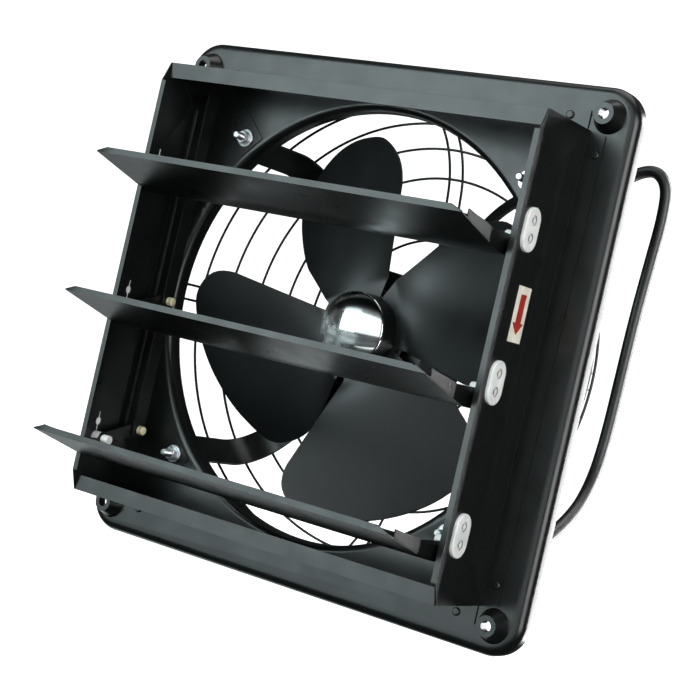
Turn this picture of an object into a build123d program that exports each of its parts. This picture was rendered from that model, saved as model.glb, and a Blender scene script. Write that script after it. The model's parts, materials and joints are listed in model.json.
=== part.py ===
from build123d import *
import math
import os

# Axial extractor fan for a wall opening, 248 mm fan, with a louvred shutter box in front
# and a wire guard behind. Millimetres. +Z up, +X to the right seen from the shutter side,
# +Y from the shutter towards the guard. The origin is the middle of the four fixing holes,
# in the plane where the screw heads sit.

# Pressed main panel
sheet = 0.9
panel_half = 171.0
panel_corner_r = 22.0
panel_depth = 12.0
edge_roll_r = 6.0
fixing_margin = 18.5
boss_height = 9.5
boss_base_r = 10.5
boss_top_r = 6.4
fixing_hole_r = 3.3
fixing_collar = 6.5
orifice_margin = 32.0
flare_r = 5.0
collar_depth = 11.0
arm_seat_raise = 0.6
arm_seat_half = 10.6
arm_seat_length = 20.0
arm_bolt_margin = 14.44

# Shutter box
box_margin_w = 29.6
box_margin_h = 27.6
side_depth = 58.5
rail_depth = 53.0
rail_face = 10.0
rail_foot = 11.5
side_lip = 3.6
side_foot = 11.5
lip_end_gap = 13.0
side_chamfer = 5.5
foot_end_gap = 2.5
rail_end_gap = 0.3
bead_r = 9.0
bead_rise = 1.2
bead_depth = 21.0
bead_end_margin = 25.4
rivet_r = 1.6
rivet_head_r = 2.6
rivet_head = 1.3
rivet_clear = 0.05
rivet_round_share = 0.7
rivet_tail_share = 0.8
rail_rivet_end = 14.4
rail_rivet_in = 4.0
side_rivet_end = 14.4
side_rivet_in = 4.0

# Louvres, their bearings and their link
louvre_count = 3
louvre_pitch_share = 0.6186
top_pivot_share = 0.4881
pivot_margin = 13.5
louvre_end_gap = 7.2
louvre_sheet = 0.8
louvre_front = 65.0
louvre_front_rise = 1.6
louvre_hem = 3.7
louvre_hem_inset = 1.6
louvre_bend = 28.0
louvre_bend_drop = 8.6
louvre_belly = 8.0
louvre_belly_drop = 12.2
louvre_back = 23.5
louvre_back_drop = 7.0
tab_top_shares = (
    (0.877, 0.077), (0.738, 0.052), (0.6, 0.034), (0.4415, 0.003), (0.2554, -0.031), (0.1308, -0.037),
)
tab_boss_r = 4.6
pivot_pin_r = 2.0
pin_clear = 0.06
pin_head_r = 3.1
pin_head = 5.7
bush_r = 4.0
bush_clear = 0.1
bush_tab_gap = 0.4
pad_half_w = 8.0
pad_half_h = 13.0
pad_rise = 5.0
pad_sheet = 2.2
pad_round = 0.7
pad_floor = 0.8
pad_mark_r = 3.0
pad_mark_depth = 0.6
keyhole_r = 2.6
keyhole_rise = 10.5
keyhole_slot = 1.6
keyhole_slot_length = 13.0
link_back = 31.0
link_rise = 9.0
link_eye_r = 4.6
link_arm_w = 8.0
link_pin_r = 2.0
link_open_clear = 0.3
link_head_r = 3.0
link_head = 5.0
link_lobe_share = 0.42
bar_sheet = 1.2
bar_half_w = 5.4
bar_gap = 0.4
bar_end = 4.8
bar_top_margin = 11.9

# Fan and shaft
fan_gap = 15.0
hub_back_share = 0.15
drum_r = 24.0
drum_length = 20.5
drum_motor_gap = 4.0
drum_wall = 2.0
drum_flange_r = 29.0
drum_flange = 2.5
cap_rise = 7.0
cap_rim = 3.0
cap_wall = 1.0
blade_count = 4
blade_sheet = 1.2
blade_camber = 2.0
blade_mid_deg = 116.0
blade_twist = 0.7
blade_flat_r = 29.0
blade_section_shares = (0.1, 0.23, 0.42, 0.72, 1.05)
blade_edge_table_shares = (
    (0.776, 78.6), (0.886, 81.1), (0.981, 89.7), (0.996, 99.2),
    (0.993, 115.7), (0.961, 130.0), (0.899, 142.1), (0.765, 148.7), (0.589, 154.2),
)
blade_root_deg = (76.0, 163.0)
shaft_r = 4.0
shaft_clear = 0.05
shaft_stand_out = 2.5
nut_r = 7.0
nut_height = 5.0

# Motor
motor_r = 42.0
motor_wall = 1.8
motor_length = 57.0
motor_rear_length = 33.0
motor_guard_gap = 11.0
bearing_r = 10.0
bearing_length = 8.0
pocket_wall = 2.0
core_length = 24.0
rotor_share = 0.5714
air_gap = 0.5
winding_share = 0.2866
winding_gap = 0.4
ear_reach = 12.0
ear_half_w = 8.0
ear_sheet = 3.0
ear_back_length = 17.0
ear_screw_in = 6.0

# Motor arms and their fasteners
arm_half_w = 10.0
arm_spine_margin = 6.0
arm_end_gap = 0.5
arm_land = 1.5
arm_count = 4
arm_foot_margin = 18.5
arm_turn_rise = 3.5
arm_foot_bend = 3.0
arm_back_bend = 28.0
bolt_r = 2.5
bolt_clear = 0.1
bolt_stand_out = 10.5
bolt_head_r = 4.6
bolt_head = 3.2
washer_r = 6.0
washer_sheet = 1.0
nut_across_r = 4.6
arm_nut_height = 4.0
screw_r = 2.0
screw_clear = 0.1
screw_head_r = 3.6
screw_head = 2.4
screw_tip = 2.0

# Wire guard
guard_wire = 1.8
guard_weld = 0.1
guard_base_margin = 21.0
guard_shoulder_margin = 9.5
guard_shoulder_drop = 14.0
guard_crown_r = 40.0
guard_back_depth = 106.0
guard_bend = 60.0
spoke_half_gap = 5.2
side_ring_shares = (0.052, 0.101, 0.151)
back_ring_shares = (0.198, 0.245, 0.292, 0.339, 0.386, 0.433)
clip_half_w = 6.0
clip_sheet = 1.2
clip_reach = 3.0

# Mains cord. Each point's places across and up are shares of the panel's half width, and its
# depth is a share of the gland's depth behind the front face of the main panel
cord_d = 7.6
cord_gland_deg = 69.0
cord_gland_back = 6.7
cord_first_run = 14.8
gland_nut_r = 6.2
gland_nut_height = 4.0
gland_sleeve_r = 5.2
gland_sleeve = 20.0
cord_point_shares = (
    (0.2515, 0.9740, 0.5556),
    (0.3860, 0.8947, 0.6433),
    (0.5731, 0.8607, 0.6637),
    (0.7368, 0.8550, 0.7164),
    (0.8743, 0.8550, 0.8099),
    (0.9485, 0.8720, 0.7661),
    (0.9561, 0.8947, 0.6433),
    (0.9415, 0.9173, 0.4678),
    (0.9269, 0.9400, 0.2690),
    (0.9269, 0.9287, 0.0351),
    (0.9310, 0.9003, -0.1930),
    (0.9415, 0.7871, -0.3567),
    (0.9532, 0.5436, -0.4883),
    (0.9392, 0.2831, -0.5702),
)
cord_bend_share = 0.45
lead_r = 1.1
lead_ring_r = 2.1
lead_length = 17.0

# Direction label on the right side
label_depth = 33.8
label_z = 27.2
label_half_w = 7.6
label_half_h = 16.3
label_sheet = 0.25
arrow_sheet = 0.15
arrow_half_h = 11.7
arrow_shaft_half = 3.2
arrow_head_half = 6.5
arrow_head_h = 6.8

overrun = 5.0

# Places that follow from the panel's size
fixing_half = panel_half - fixing_margin
orifice_r = panel_half - orifice_margin
box_half_w = panel_half - box_margin_w
box_half_h = panel_half - box_margin_h
bead_half_length = box_half_h - bead_end_margin
rail_rivet_x = box_half_w - rail_rivet_end
side_rivet_z = box_half_h - side_rivet_end
louvre_pitch = box_half_h * louvre_pitch_share
top_pivot_z = box_half_h * top_pivot_share
louvre_half_w = box_half_w - louvre_end_gap
bar_top_z = box_half_h - bar_top_margin
fan_r = orifice_r - fan_gap
arm_bolt_r = orifice_r + arm_bolt_margin
arm_bolt_offset = arm_bolt_r / math.sqrt(2)
arm_spine_r = orifice_r + arm_spine_margin
arm_foot_r = orifice_r + arm_foot_margin
guard_base_r = orifice_r + guard_base_margin
guard_shoulder_r = orifice_r + guard_shoulder_margin

# Depths that follow from the guard's depth
guard_shoulder_depth = guard_back_depth - guard_shoulder_drop
motor_back = guard_back_depth - motor_guard_gap
motor_front = motor_back - motor_length
motor_seam = motor_back - motor_rear_length
ear_depth = motor_back - ear_back_length
arm_turn_depth = ear_depth - arm_turn_rise
cord_gland_depth = motor_back - cord_gland_back
drum_back = motor_front - drum_motor_gap
drum_front = drum_back - drum_length
hub_y = drum_back - drum_length * hub_back_share
shaft_front = drum_front - shaft_stand_out

# The rotor and the winding follow the motor's radius, and the louvre pivots follow the box's depth
rotor_r = motor_r * rotor_share
winding_r = (motor_r - motor_wall - rotor_r - air_gap) * winding_share
pivot_depth = side_depth - pivot_margin

# The panel's front face is behind the plane of the screw heads by the height of the bosses
panel_y = boss_height
panel_back_y = panel_y + sheet
seat_back_y = panel_back_y - arm_seat_raise
arm_sheet = guard_wire + arm_seat_raise
arm_back_y = seat_back_y + arm_sheet
pivot_y = panel_y - pivot_depth
pivot_zs = [top_pivot_z - louvre_pitch * i for i in range(louvre_count)]


def block(x0, x1, y0, y1, z0, z1):
    """A box between two corners."""
    centre = Pos((x0 + x1) / 2, (y0 + y1) / 2, (z0 + z1) / 2)
    return centre * Box(abs(x1 - x0), abs(y1 - y0), abs(z1 - z0))


def rod_x(radius, x0, x1, y, z):
    """A round bar along X."""
    return Pos((x0 + x1) / 2, y, z) * Rot(0, 90, 0) * Cylinder(radius, abs(x1 - x0))


def rod_y(radius, y0, y1, x=0, z=0):
    """A round bar along Y."""
    return Pos(x, (y0 + y1) / 2, z) * Rot(90, 0, 0) * Cylinder(radius, abs(y1 - y0))


def hex_y(radius, y0, y1, x=0, z=0):
    """A hexagonal bar along Y, radius measured to its corners."""
    plane = Plane(origin=(x, y0, z), x_dir=(1, 0, 0), z_dir=(0, 1, 0))
    return extrude(plane * RegularPolygon(radius, 6), amount=y1 - y0)


def extrude_x(face, x0, x1):
    """A face drawn in Y and Z, carried from x0 to x1."""
    plane = Plane(origin=(x0, 0, 0), x_dir=(0, 1, 0), z_dir=(1, 0, 0))
    return extrude(plane * face, amount=x1 - x0)


def corner_places(half):
    """The four corners of a square in X and Z."""
    return [(sx * half, sz * half) for sx in (-1, 1) for sz in (-1, 1)]


def at_angle(solid, degrees):
    """Turn a solid about the fan's axis, from +X towards +Z."""
    return Rot(0, -degrees, 0) * solid


def polar(radius, degrees):
    """A point in X and Z on a circle about the fan's axis."""
    angle = math.radians(degrees)
    return radius * math.cos(angle), radius * math.sin(angle)


def tray(half, corner_r, front_y, roll_r, depth):
    """A rounded square block with its front edge rolled over."""
    plane = Plane(origin=(0, front_y, 0), x_dir=(1, 0, 0), z_dir=(0, 1, 0))
    solid = extrude(plane * RectangleRounded(2 * half, 2 * half, corner_r), amount=depth)
    front = solid.faces().sort_by(Axis.Y)[0]
    return fillet(front.edges(), roll_r)


def bell_mouth():
    """The orifice's rounded lip and short collar."""
    lip_r = orifice_r + flare_r
    half_root = math.sqrt(2) / 2
    outer_mid = (lip_r - flare_r * half_root, panel_y + flare_r - flare_r * half_root)
    inner_flare = flare_r - sheet
    inner_mid = (lip_r - inner_flare * half_root, panel_y + flare_r - inner_flare * half_root)
    collar_y = panel_y + collar_depth
    edges = [
        ThreePointArc((lip_r, panel_y), outer_mid, (orifice_r, panel_y + flare_r)),
        Line((orifice_r, panel_y + flare_r), (orifice_r, collar_y)),
        Line((orifice_r, collar_y), (orifice_r + sheet, collar_y)),
        Line((orifice_r + sheet, collar_y), (orifice_r + sheet, panel_y + flare_r)),
        ThreePointArc((orifice_r + sheet, panel_y + flare_r), inner_mid, (lip_r, panel_back_y)),
        Line((lip_r, panel_back_y), (lip_r, panel_y)),
    ]
    return revolve(make_face(edges), Axis.Y)


def arm_seat(grow, y0, y1):
    """The pressed seat of one motor arm, radial, on +X."""
    r0 = orifice_r + flare_r + sheet
    return block(r0 - grow, r0 + arm_seat_length + grow, y0, y1, -arm_seat_half - grow, arm_seat_half + grow)


def rivet_places():
    """Where the shutter box's feet are riveted to the panel."""
    rail_z = box_half_h + rail_foot - rail_rivet_in
    side_x = box_half_w + side_foot - side_rivet_in
    rails = [(sx * rail_rivet_x, sz * rail_z) for sx in (-1, 1) for sz in (-1, 1)]
    sides = [(sx * side_x, sz * side_rivet_z) for sx in (-1, 1) for sz in (-1, 1)]
    return rails + sides


def make_main_panel():
    inner_half = panel_half - sheet
    panel = tray(panel_half, panel_corner_r, panel_y, edge_roll_r, panel_depth)
    hollow = tray(inner_half, panel_corner_r - sheet, panel_back_y, edge_roll_r - sheet, panel_depth)
    panel -= hollow
    boss_y = boss_height / 2
    for x, z in corner_places(fixing_half):
        panel += Pos(x, boss_y, z) * Rot(90, 0, 0) * Cone(boss_base_r, boss_top_r, boss_height)
    for x, z in corner_places(fixing_half):
        place = Pos(x, boss_y + sheet, z) * Rot(90, 0, 0)
        panel -= place * Cone(boss_base_r - sheet, boss_top_r - sheet, boss_height)
        panel += rod_y(fixing_hole_r + sheet, 0, fixing_collar, x, z)
        panel -= rod_y(fixing_hole_r, -overrun, panel_y + overrun, x, z)
    for i in range(arm_count):
        angle = 45 + 90 * i
        panel += at_angle(arm_seat(0, panel_y - arm_seat_raise, panel_y + sheet / 2), angle)
    for i in range(arm_count):
        angle = 45 + 90 * i
        panel -= at_angle(arm_seat(-sheet / 2, seat_back_y, panel_back_y + overrun), angle)
    panel -= rod_y(orifice_r + flare_r, -overrun, panel_y + overrun)
    panel += bell_mouth()
    for x, z in corner_places(arm_bolt_offset):
        panel -= rod_y(bolt_r + bolt_clear, -overrun, panel_y + overrun, x, z)
    for x, z in rivet_places():
        panel -= rod_y(rivet_r + rivet_clear, -overrun, panel_y + overrun, x, z)
    return panel


def make_rail(side):
    """Top (side 1) or bottom (side -1) rail: web, front face and foot from one strip."""
    half_x = box_half_w - sheet - rail_end_gap
    front_y = panel_y - rail_depth
    z_out = side * box_half_h
    z_in = side * (box_half_h - sheet)
    rail = block(-half_x, half_x, front_y, panel_y, z_in, z_out)
    rail += block(-half_x, half_x, front_y, front_y + sheet, side * (box_half_h - rail_face), z_out)
    rail += block(-half_x, half_x, panel_y - sheet, panel_y, z_in, side * (box_half_h + rail_foot))
    for x, z in rivet_places()[:4]:
        rail -= rod_y(rivet_r + rivet_clear, panel_y - overrun, panel_y + overrun, x, z)
    return rail


def side_web():
    """Outline of a side wall in Y and Z, with its front corners cut back."""
    front_y = panel_y - side_depth
    cut_z = box_half_h - lip_end_gap
    return Polyline(
        (panel_y, -box_half_h), (front_y + side_chamfer, -box_half_h), (front_y, -cut_z),
        (front_y, cut_z), (front_y + side_chamfer, box_half_h), (panel_y, box_half_h),
        close=True,
    )


def bead_solid(radius):
    """The long bead pressed in a side wall, on +X, as a bar with round ends."""
    x = box_half_w + bead_rise - bead_r
    y = panel_y - bead_depth
    bar = Pos(x, y, 0) * Cylinder(radius, 2 * bead_half_length)
    for end in (-1, 1):
        bar += Pos(x, y, end * bead_half_length) * Sphere(radius)
    return bar


def make_side(side):
    """Right (side 1) or left (side -1) wall of the shutter box."""
    front_y = panel_y - side_depth
    lip_z = box_half_h - lip_end_gap
    foot_z = box_half_h - foot_end_gap
    x_in = box_half_w - sheet
    wall = extrude_x(make_face(side_web()), x_in, box_half_w)
    outside = block(x_in, box_half_w + overrun, front_y, panel_y, -box_half_h, box_half_h)
    wall += bead_solid(bead_r) & outside
    wall -= bead_solid(bead_r - sheet)
    wall += block(box_half_w - side_lip, box_half_w, front_y, front_y + sheet, -lip_z, lip_z)
    wall += block(x_in, box_half_w + side_foot, panel_y - sheet, panel_y, -foot_z, foot_z)
    for z in pivot_zs:
        key_z = z + keyhole_rise
        wall -= rod_x(bush_r + bush_clear, x_in - overrun, box_half_w + overrun, pivot_y, z)
        wall -= rod_x(keyhole_r, x_in - overrun, box_half_w + overrun, pivot_y, key_z)
        wall -= block(
            x_in - overrun, box_half_w + overrun, pivot_y - keyhole_slot / 2, pivot_y + keyhole_slot / 2,
            key_z - keyhole_slot_length / 2, key_z + keyhole_slot_length / 2,
        )
    if side < 0:
        wall = mirror(wall, about=Plane.YZ)
    for x, z in rivet_places()[4:]:
        wall -= rod_y(rivet_r + rivet_clear, panel_y - overrun, panel_y + overrun, x, z)
    return wall


def make_rivets():
    """Eight rivets, head on the foot and tail behind the panel."""
    rivets = []
    foot_y = panel_y - sheet
    for x, z in rivet_places():
        rivet = rod_y(rivet_r, foot_y - rivet_head, panel_back_y + rivet_head, x, z)
        head = fillet(
            rod_y(rivet_head_r, foot_y - rivet_head, foot_y, x, z).edges().sort_by(Axis.Y)[0], rivet_head * rivet_round_share
        )
        tail = rod_y(rivet_head_r * rivet_tail_share, panel_back_y, panel_back_y + rivet_head, x, z)
        rivets.append(rivet + head + tail)
    return rivets


def make_bearings(side):
    """Three plastic pads on a side wall, each with a bush for a louvre's pin."""
    pads = []
    for z in pivot_zs:
        face = Pos(pivot_y, z + pad_rise) * Rot(0, 0, 90) * SlotOverall(2 * pad_half_h, 2 * pad_half_w)
        pad = extrude_x(face, box_half_w, box_half_w + pad_sheet)
        outer = pad.faces().sort_by(Axis.X)[-1]
        pad = fillet(outer.edges(), pad_round)
        bush_end = louvre_half_w + bush_tab_gap
        pad += rod_x(bush_r, bush_end, box_half_w + pad_sheet / 2, pivot_y, z)
        bore_end = box_half_w + pad_sheet - pad_mark_depth - pad_floor
        pad -= rod_x(pivot_pin_r + pin_clear, bush_end - overrun, bore_end, pivot_y, z)
        for mark_z in (z, z + keyhole_rise):
            mark_x = box_half_w + pad_sheet
            pad -= rod_x(pad_mark_r, mark_x - pad_mark_depth, mark_x + overrun, pivot_y, mark_z)
            pad += rod_x(pad_mark_r / 2, mark_x - pad_mark_depth, mark_x, pivot_y, mark_z)
        if side < 0:
            pad = mirror(pad, about=Plane.YZ)
        pads.append(pad)
    return pads


def louvre_section(lift):
    """The louvre's section in Y and Z from its pivot: a flat front part, then a curved belly."""
    start = (-louvre_front, louvre_front_rise + lift)
    bend = (-louvre_bend, lift - louvre_bend_drop)
    belly = (-louvre_belly, lift - louvre_belly_drop)
    end = (louvre_back, lift - louvre_back_drop)
    return start, [Line(start, bend), ThreePointArc(bend, belly, end)], end


def louvre_tab(side):
    """End tab of a louvre: it carries the pivot pin, and on the left the link's eye."""
    start, section, end = louvre_section(0)
    top = tab_boss_r + link_rise
    above = make_face(section + [
        Line(end, (louvre_back, top)), Line((louvre_back, top), (-louvre_front, top)),
        Line((-louvre_front, top), start),
    ])
    line = [(-louvre_front * front, louvre_front * rise) for front, rise in tab_top_shares]
    bottom = -louvre_belly_drop * 2
    line += [
        (0, 0), (tab_boss_r, 0), (louvre_back, -louvre_back_drop / 2), (louvre_back, bottom),
        (line[0][0], bottom),
    ]
    tab = (make_face(Polyline(*line, close=True)) & above) + Circle(tab_boss_r)
    if side < 0:
        reach = math.hypot(link_back, link_rise)
        turn = math.degrees(math.atan2(link_rise, link_back))
        tab += Pos(link_back / 2, link_rise / 2) * Rot(0, 0, turn) * Rectangle(reach, link_arm_w)
        tab += Pos(link_back, link_rise) * Circle(link_eye_r)
        tab -= Pos(link_back, link_rise) * Circle(link_pin_r)
    tab -= Circle(pivot_pin_r)
    x_in = louvre_half_w - louvre_sheet
    solid = extrude_x(tab, x_in, louvre_half_w)
    return solid if side > 0 else mirror(solid, about=Plane.YZ)


def make_louvre(z):
    """One louvre: bent blade, turned-up front hem and two end tabs."""
    start, low, end = louvre_section(0)
    start_up, high, end_up = louvre_section(louvre_sheet)
    band = make_face(low + [Line(end, end_up)] + high + [Line(start_up, start)])
    blade = extrude_x(band, -louvre_half_w, louvre_half_w)
    hem_x = louvre_half_w - louvre_hem_inset
    blade += block(
        -hem_x, hem_x, -louvre_front, louvre_sheet - louvre_front,
        louvre_front_rise, louvre_front_rise + louvre_hem,
    )
    for side in (-1, 1):
        blade += louvre_tab(side)
    return Pos(0, pivot_y, z) * blade


def make_pivot_pins(z):
    """A pin in each end tab of a louvre, turning in the bushes."""
    pins = []
    head_x = louvre_half_w - louvre_sheet - pin_head
    tip_x = box_half_w + pad_sheet - pad_mark_depth - pad_floor - pin_clear
    for side in (-1, 1):
        pin = rod_x(pivot_pin_r, head_x, tip_x, pivot_y, z)
        pin += rod_x(pin_head_r, head_x, head_x + pin_head, pivot_y, z)
        pins.append(pin if side > 0 else mirror(pin, about=Plane.YZ))
    return pins


def bar_faces():
    """The tie bar's outer and inner faces in X, on the left of the fan."""
    outer = -(louvre_half_w - louvre_sheet) + bar_gap
    return outer, outer + bar_sheet


def make_link_pin(z):
    """The two-lobed clip that holds the tie bar to one louvre."""
    outer, inner = bar_faces()
    y = pivot_y + link_back
    tip_x = inner + link_head
    head_x = inner + bar_gap / 2
    lobe = link_head * link_lobe_share
    pin = rod_x(link_pin_r, -louvre_half_w, tip_x, y, z + link_rise)
    pin += rod_x(link_head_r, head_x, head_x + lobe, y, z + link_rise)
    pin += rod_x(link_head_r, tip_x - lobe, tip_x, y, z + link_rise)
    return pin


def make_tie_bar():
    """The flat bar that makes the louvres turn together."""
    outer, inner = bar_faces()
    y = pivot_y + link_back
    bottom = pivot_zs[-1] + link_rise - bar_end
    bar = block(outer, inner, y - bar_half_w, y + bar_half_w, bottom, bar_top_z)
    for i, z in enumerate(pivot_zs):
        clear = pin_clear if i == 0 else link_open_clear
        bar -= rod_x(link_pin_r + clear, outer - overrun, inner + overrun, y, z + link_rise)
    return bar


def make_hub_drum():
    front_y = panel_y + drum_front
    back_y = panel_y + drum_back
    drum = rod_y(drum_r, front_y, back_y)
    drum += rod_y(drum_flange_r, back_y - drum_flange, back_y)
    drum -= rod_y(drum_r - drum_wall, front_y - overrun, back_y - drum_flange)
    drum += rod_y(shaft_r + drum_wall * 2, front_y + nut_height, back_y)
    drum -= rod_y(shaft_r, front_y - overrun, back_y + overrun)
    return drum


def make_hub_cap():
    """A domed cap pressed over the front of the drum."""
    front_y = panel_y + drum_front
    skirt_y = front_y - cap_wall
    dome_r = (drum_r ** 2 + cap_rise ** 2) / (2 * cap_rise)
    cap = Pos(0, skirt_y - cap_rise + dome_r, 0) * Sphere(dome_r)
    cap -= Pos(0, skirt_y - cap_rise + dome_r, 0) * Sphere(dome_r - cap_wall)
    cap &= rod_y(drum_r, skirt_y - cap_rise - overrun, skirt_y)
    plug_r = drum_r - drum_wall
    ring = rod_y(drum_r, skirt_y, front_y) - rod_y(plug_r - cap_wall, skirt_y, front_y)
    plug = rod_y(plug_r, front_y, front_y + cap_rim) - rod_y(plug_r - cap_wall, front_y, front_y + cap_rim)
    return cap + ring + plug


def make_shaft_nut():
    front_y = panel_y + drum_front
    return hex_y(nut_r, front_y, front_y + nut_height) - rod_y(shaft_r, front_y - overrun, front_y + overrun * 2)


def blade_section(reach):
    """The blade's thin cambered section at a distance from the axis, tilted for its pitch."""
    slope = blade_twist * max(0, 1 - blade_flat_r / reach)
    half = fan_r
    lean = half * slope
    y = panel_y + hub_y
    plane = Plane(origin=(reach, y, 0), x_dir=(0, 0, 1), z_dir=(-1, 0, 0))
    half_sheet = blade_sheet / 2
    front = [(-half, -lean - half_sheet), (0, -half_sheet - blade_camber), (half, lean - half_sheet)]
    back = [(p[0], p[1] + blade_sheet) for p in front]
    edges = [ThreePointArc(*front), Line(front[2], back[2]),
             ThreePointArc(back[2], back[1], back[0]), Line(back[0], front[0])]
    return plane * make_face(edges)


def blade_outline():
    """The blade's outline about the fan's axis, in X and Z."""
    root_r = drum_r
    start = polar(root_r, blade_root_deg[0])
    end = polar(root_r, blade_root_deg[1])
    rim = [polar(fan_r * share, angle) for share, angle in blade_edge_table_shares]
    edges = [Line(start, rim[0]), Spline(*rim), Line(rim[-1], end), Line(end, (0, 0)), Line((0, 0), start)]
    plane = Plane(origin=(0, panel_y + motor_seam, 0), x_dir=(1, 0, 0), z_dir=(0, -1, 0))
    return extrude(plane * make_face(edges), amount=motor_seam + side_depth)


def make_fan_blade(index):
    """One of the fan's four wide blades, cut to meet the drum."""
    sections = [blade_section(fan_r * share) for share in blade_section_shares]
    twisted = Rot(0, -blade_mid_deg, 0) * loft(sections)
    blade = twisted & blade_outline()
    y = panel_y + hub_y
    blade -= rod_y(drum_r, y - fan_r, y + fan_r)
    blade -= rod_y(drum_flange_r, panel_y + drum_back - drum_flange, panel_y + drum_back)
    return at_angle(blade, 90 * index)


def make_rotor_shaft():
    back_y = panel_y + motor_back - motor_wall - shaft_clear
    return rod_y(shaft_r, panel_y + shaft_front, back_y)


def core_span():
    """Where the stator and rotor cores start and end along the shaft."""
    middle = panel_y + (motor_front + motor_back) / 2
    return middle - core_length / 2, middle + core_length / 2


def make_rotor_core():
    y0, y1 = core_span()
    return rod_y(rotor_r, y0, y1) - rod_y(shaft_r, y0, y1)


def make_stator_core():
    y0, y1 = core_span()
    return rod_y(motor_r - motor_wall, y0, y1) - rod_y(rotor_r + air_gap, y0, y1)


def make_stator_windings():
    """The two rings of end turns, one each side of the core."""
    y0, y1 = core_span()
    ring_r = rotor_r + air_gap + winding_r + winding_gap
    rings = []
    for y in (y0 - winding_r, y1 + winding_r):
        rings.append(Pos(0, y, 0) * Rot(90, 0, 0) * Torus(ring_r, winding_r))
    return rings


def make_bearing(y0):
    return rod_y(bearing_r, y0, y0 + bearing_length) - rod_y(shaft_r + shaft_clear, y0, y0 + bearing_length)


def bearing_places():
    """Front faces of the two bearings."""
    front = panel_y + motor_front + motor_wall
    back = panel_y + motor_back - motor_wall - bearing_length
    return front, back


def make_motor_front():
    y0 = panel_y + motor_front
    y1 = panel_y + motor_seam
    pocket_y = y0 + motor_wall + bearing_length
    shell = rod_y(motor_r, y0, y1) - rod_y(motor_r - motor_wall, y0 + motor_wall, y1)
    shell += rod_y(bearing_r + pocket_wall, y0, pocket_y)
    shell -= rod_y(bearing_r, y0 + motor_wall, pocket_y)
    shell -= rod_y(shaft_r + motor_wall, y0 - overrun, y0 + overrun)
    return shell


def make_motor_rear():
    y0 = panel_y + motor_seam
    y1 = panel_y + motor_back
    pocket_y = y1 - motor_wall - bearing_length
    shell = rod_y(motor_r, y0, y1) - rod_y(motor_r - motor_wall, y0, y1 - motor_wall)
    shell += rod_y(bearing_r + pocket_wall, pocket_y, y1)
    shell -= rod_y(bearing_r, pocket_y, y1 - motor_wall)
    ear_y = panel_y + ear_depth
    for i in range(arm_count):
        ear = block(motor_r - motor_wall, motor_r + ear_reach, ear_y, ear_y + ear_sheet, -ear_half_w, ear_half_w)
        ear -= rod_y(screw_r + screw_clear, ear_y - overrun, ear_y + overrun, motor_r + ear_reach - ear_screw_in)
        shell += at_angle(ear, 45 + 90 * i)
    gland = rod_x(screw_head_r, motor_r - motor_wall * 2, motor_r + overrun, panel_y + cord_gland_depth, 0)
    return shell - at_angle(gland, cord_gland_deg)


def make_motor_arm(index):
    """A flat strip from the panel, back inside the guard and in to the motor."""
    foot_y = seat_back_y + arm_sheet / 2
    end_y = panel_y + ear_depth + ear_sheet + arm_sheet / 2
    turn_y = panel_y + arm_turn_depth
    ear_r = motor_r + ear_reach
    bend_r = ear_r + arm_land
    path = FilletPolyline(
        (arm_foot_r, foot_y, 0), (arm_spine_r, foot_y, 0), (arm_spine_r, turn_y, 0),
        (bend_r, end_y, 0), (motor_r + arm_end_gap, end_y, 0),
        radius=[arm_foot_bend, arm_back_bend, arm_back_bend],
    )
    section = Plane(origin=path @ 0, z_dir=path % 0, x_dir=(0, 0, 1)) * Rectangle(2 * arm_half_w, arm_sheet)
    arm = sweep(section, path=path)
    arm -= rod_y(bolt_r + bolt_clear, panel_y - overrun, foot_y + overrun, arm_bolt_r)
    arm -= rod_y(screw_r + screw_clear, end_y - overrun, end_y + overrun, ear_r - ear_screw_in)
    return at_angle(arm, 45 + 90 * index)


def make_arm_bolts():
    """Hex bolts from behind, through clip, arm and panel."""
    bolts = []
    head_y = arm_back_y + clip_sheet
    tip_y = panel_y - arm_seat_raise - washer_sheet - bolt_stand_out
    for x, z in corner_places(arm_bolt_offset):
        bolt = rod_y(bolt_r, tip_y, head_y + bolt_head, x, z)
        bolts.append(bolt + hex_y(bolt_head_r, head_y, head_y + bolt_head, x, z))
    return bolts


def make_arm_washers():
    washers = []
    y = panel_y - arm_seat_raise
    for x, z in corner_places(arm_bolt_offset):
        washers.append(rod_y(washer_r, y - washer_sheet, y, x, z) - rod_y(bolt_r, y - overrun, y + overrun, x, z))
    return washers


def make_arm_nuts():
    nuts = []
    y = panel_y - arm_seat_raise - washer_sheet
    for x, z in corner_places(arm_bolt_offset):
        nut = hex_y(nut_across_r, y - arm_nut_height, y, x, z)
        nuts.append(nut - rod_y(bolt_r, y - overrun, y + overrun, x, z))
    return nuts


def make_motor_screws():
    """Four screws that hold the motor's ears to the arms."""
    screws = []
    ear_y = panel_y + ear_depth
    head_y = ear_y + ear_sheet + arm_sheet
    place = motor_r + ear_reach - ear_screw_in
    for i in range(arm_count):
        screw = rod_y(screw_r, ear_y - screw_tip, head_y + screw_head, place)
        screw += rod_y(screw_head_r, head_y, head_y + screw_head, place)
        screws.append(at_angle(screw, 45 + 90 * i))
    return screws


def guard_path(offset):
    """Half section of the guard in radius and depth, moved out by an offset."""
    base_y = panel_back_y + guard_wire / 2
    shoulder = (guard_shoulder_r + offset, panel_y + guard_shoulder_depth + offset)
    crown_y = panel_y + guard_back_depth + offset
    return FilletPolyline(
        (guard_base_r + offset, base_y), shoulder, (guard_crown_r, crown_y), (-guard_crown_r, crown_y),
        (-shoulder[0], shoulder[1]), (-guard_base_r - offset, base_y),
        radius=[guard_bend, guard_bend * 2, guard_bend * 2, guard_bend],
    )


def guard_ring(place):
    """A wire ring about the fan's axis through a point of the guard's section."""
    return Pos(0, place.Y, 0) * Rot(90, 0, 0) * Torus(place.X, guard_wire / 2)


def make_guard_ring(share):
    return guard_ring(guard_path(0) @ share)


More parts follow.
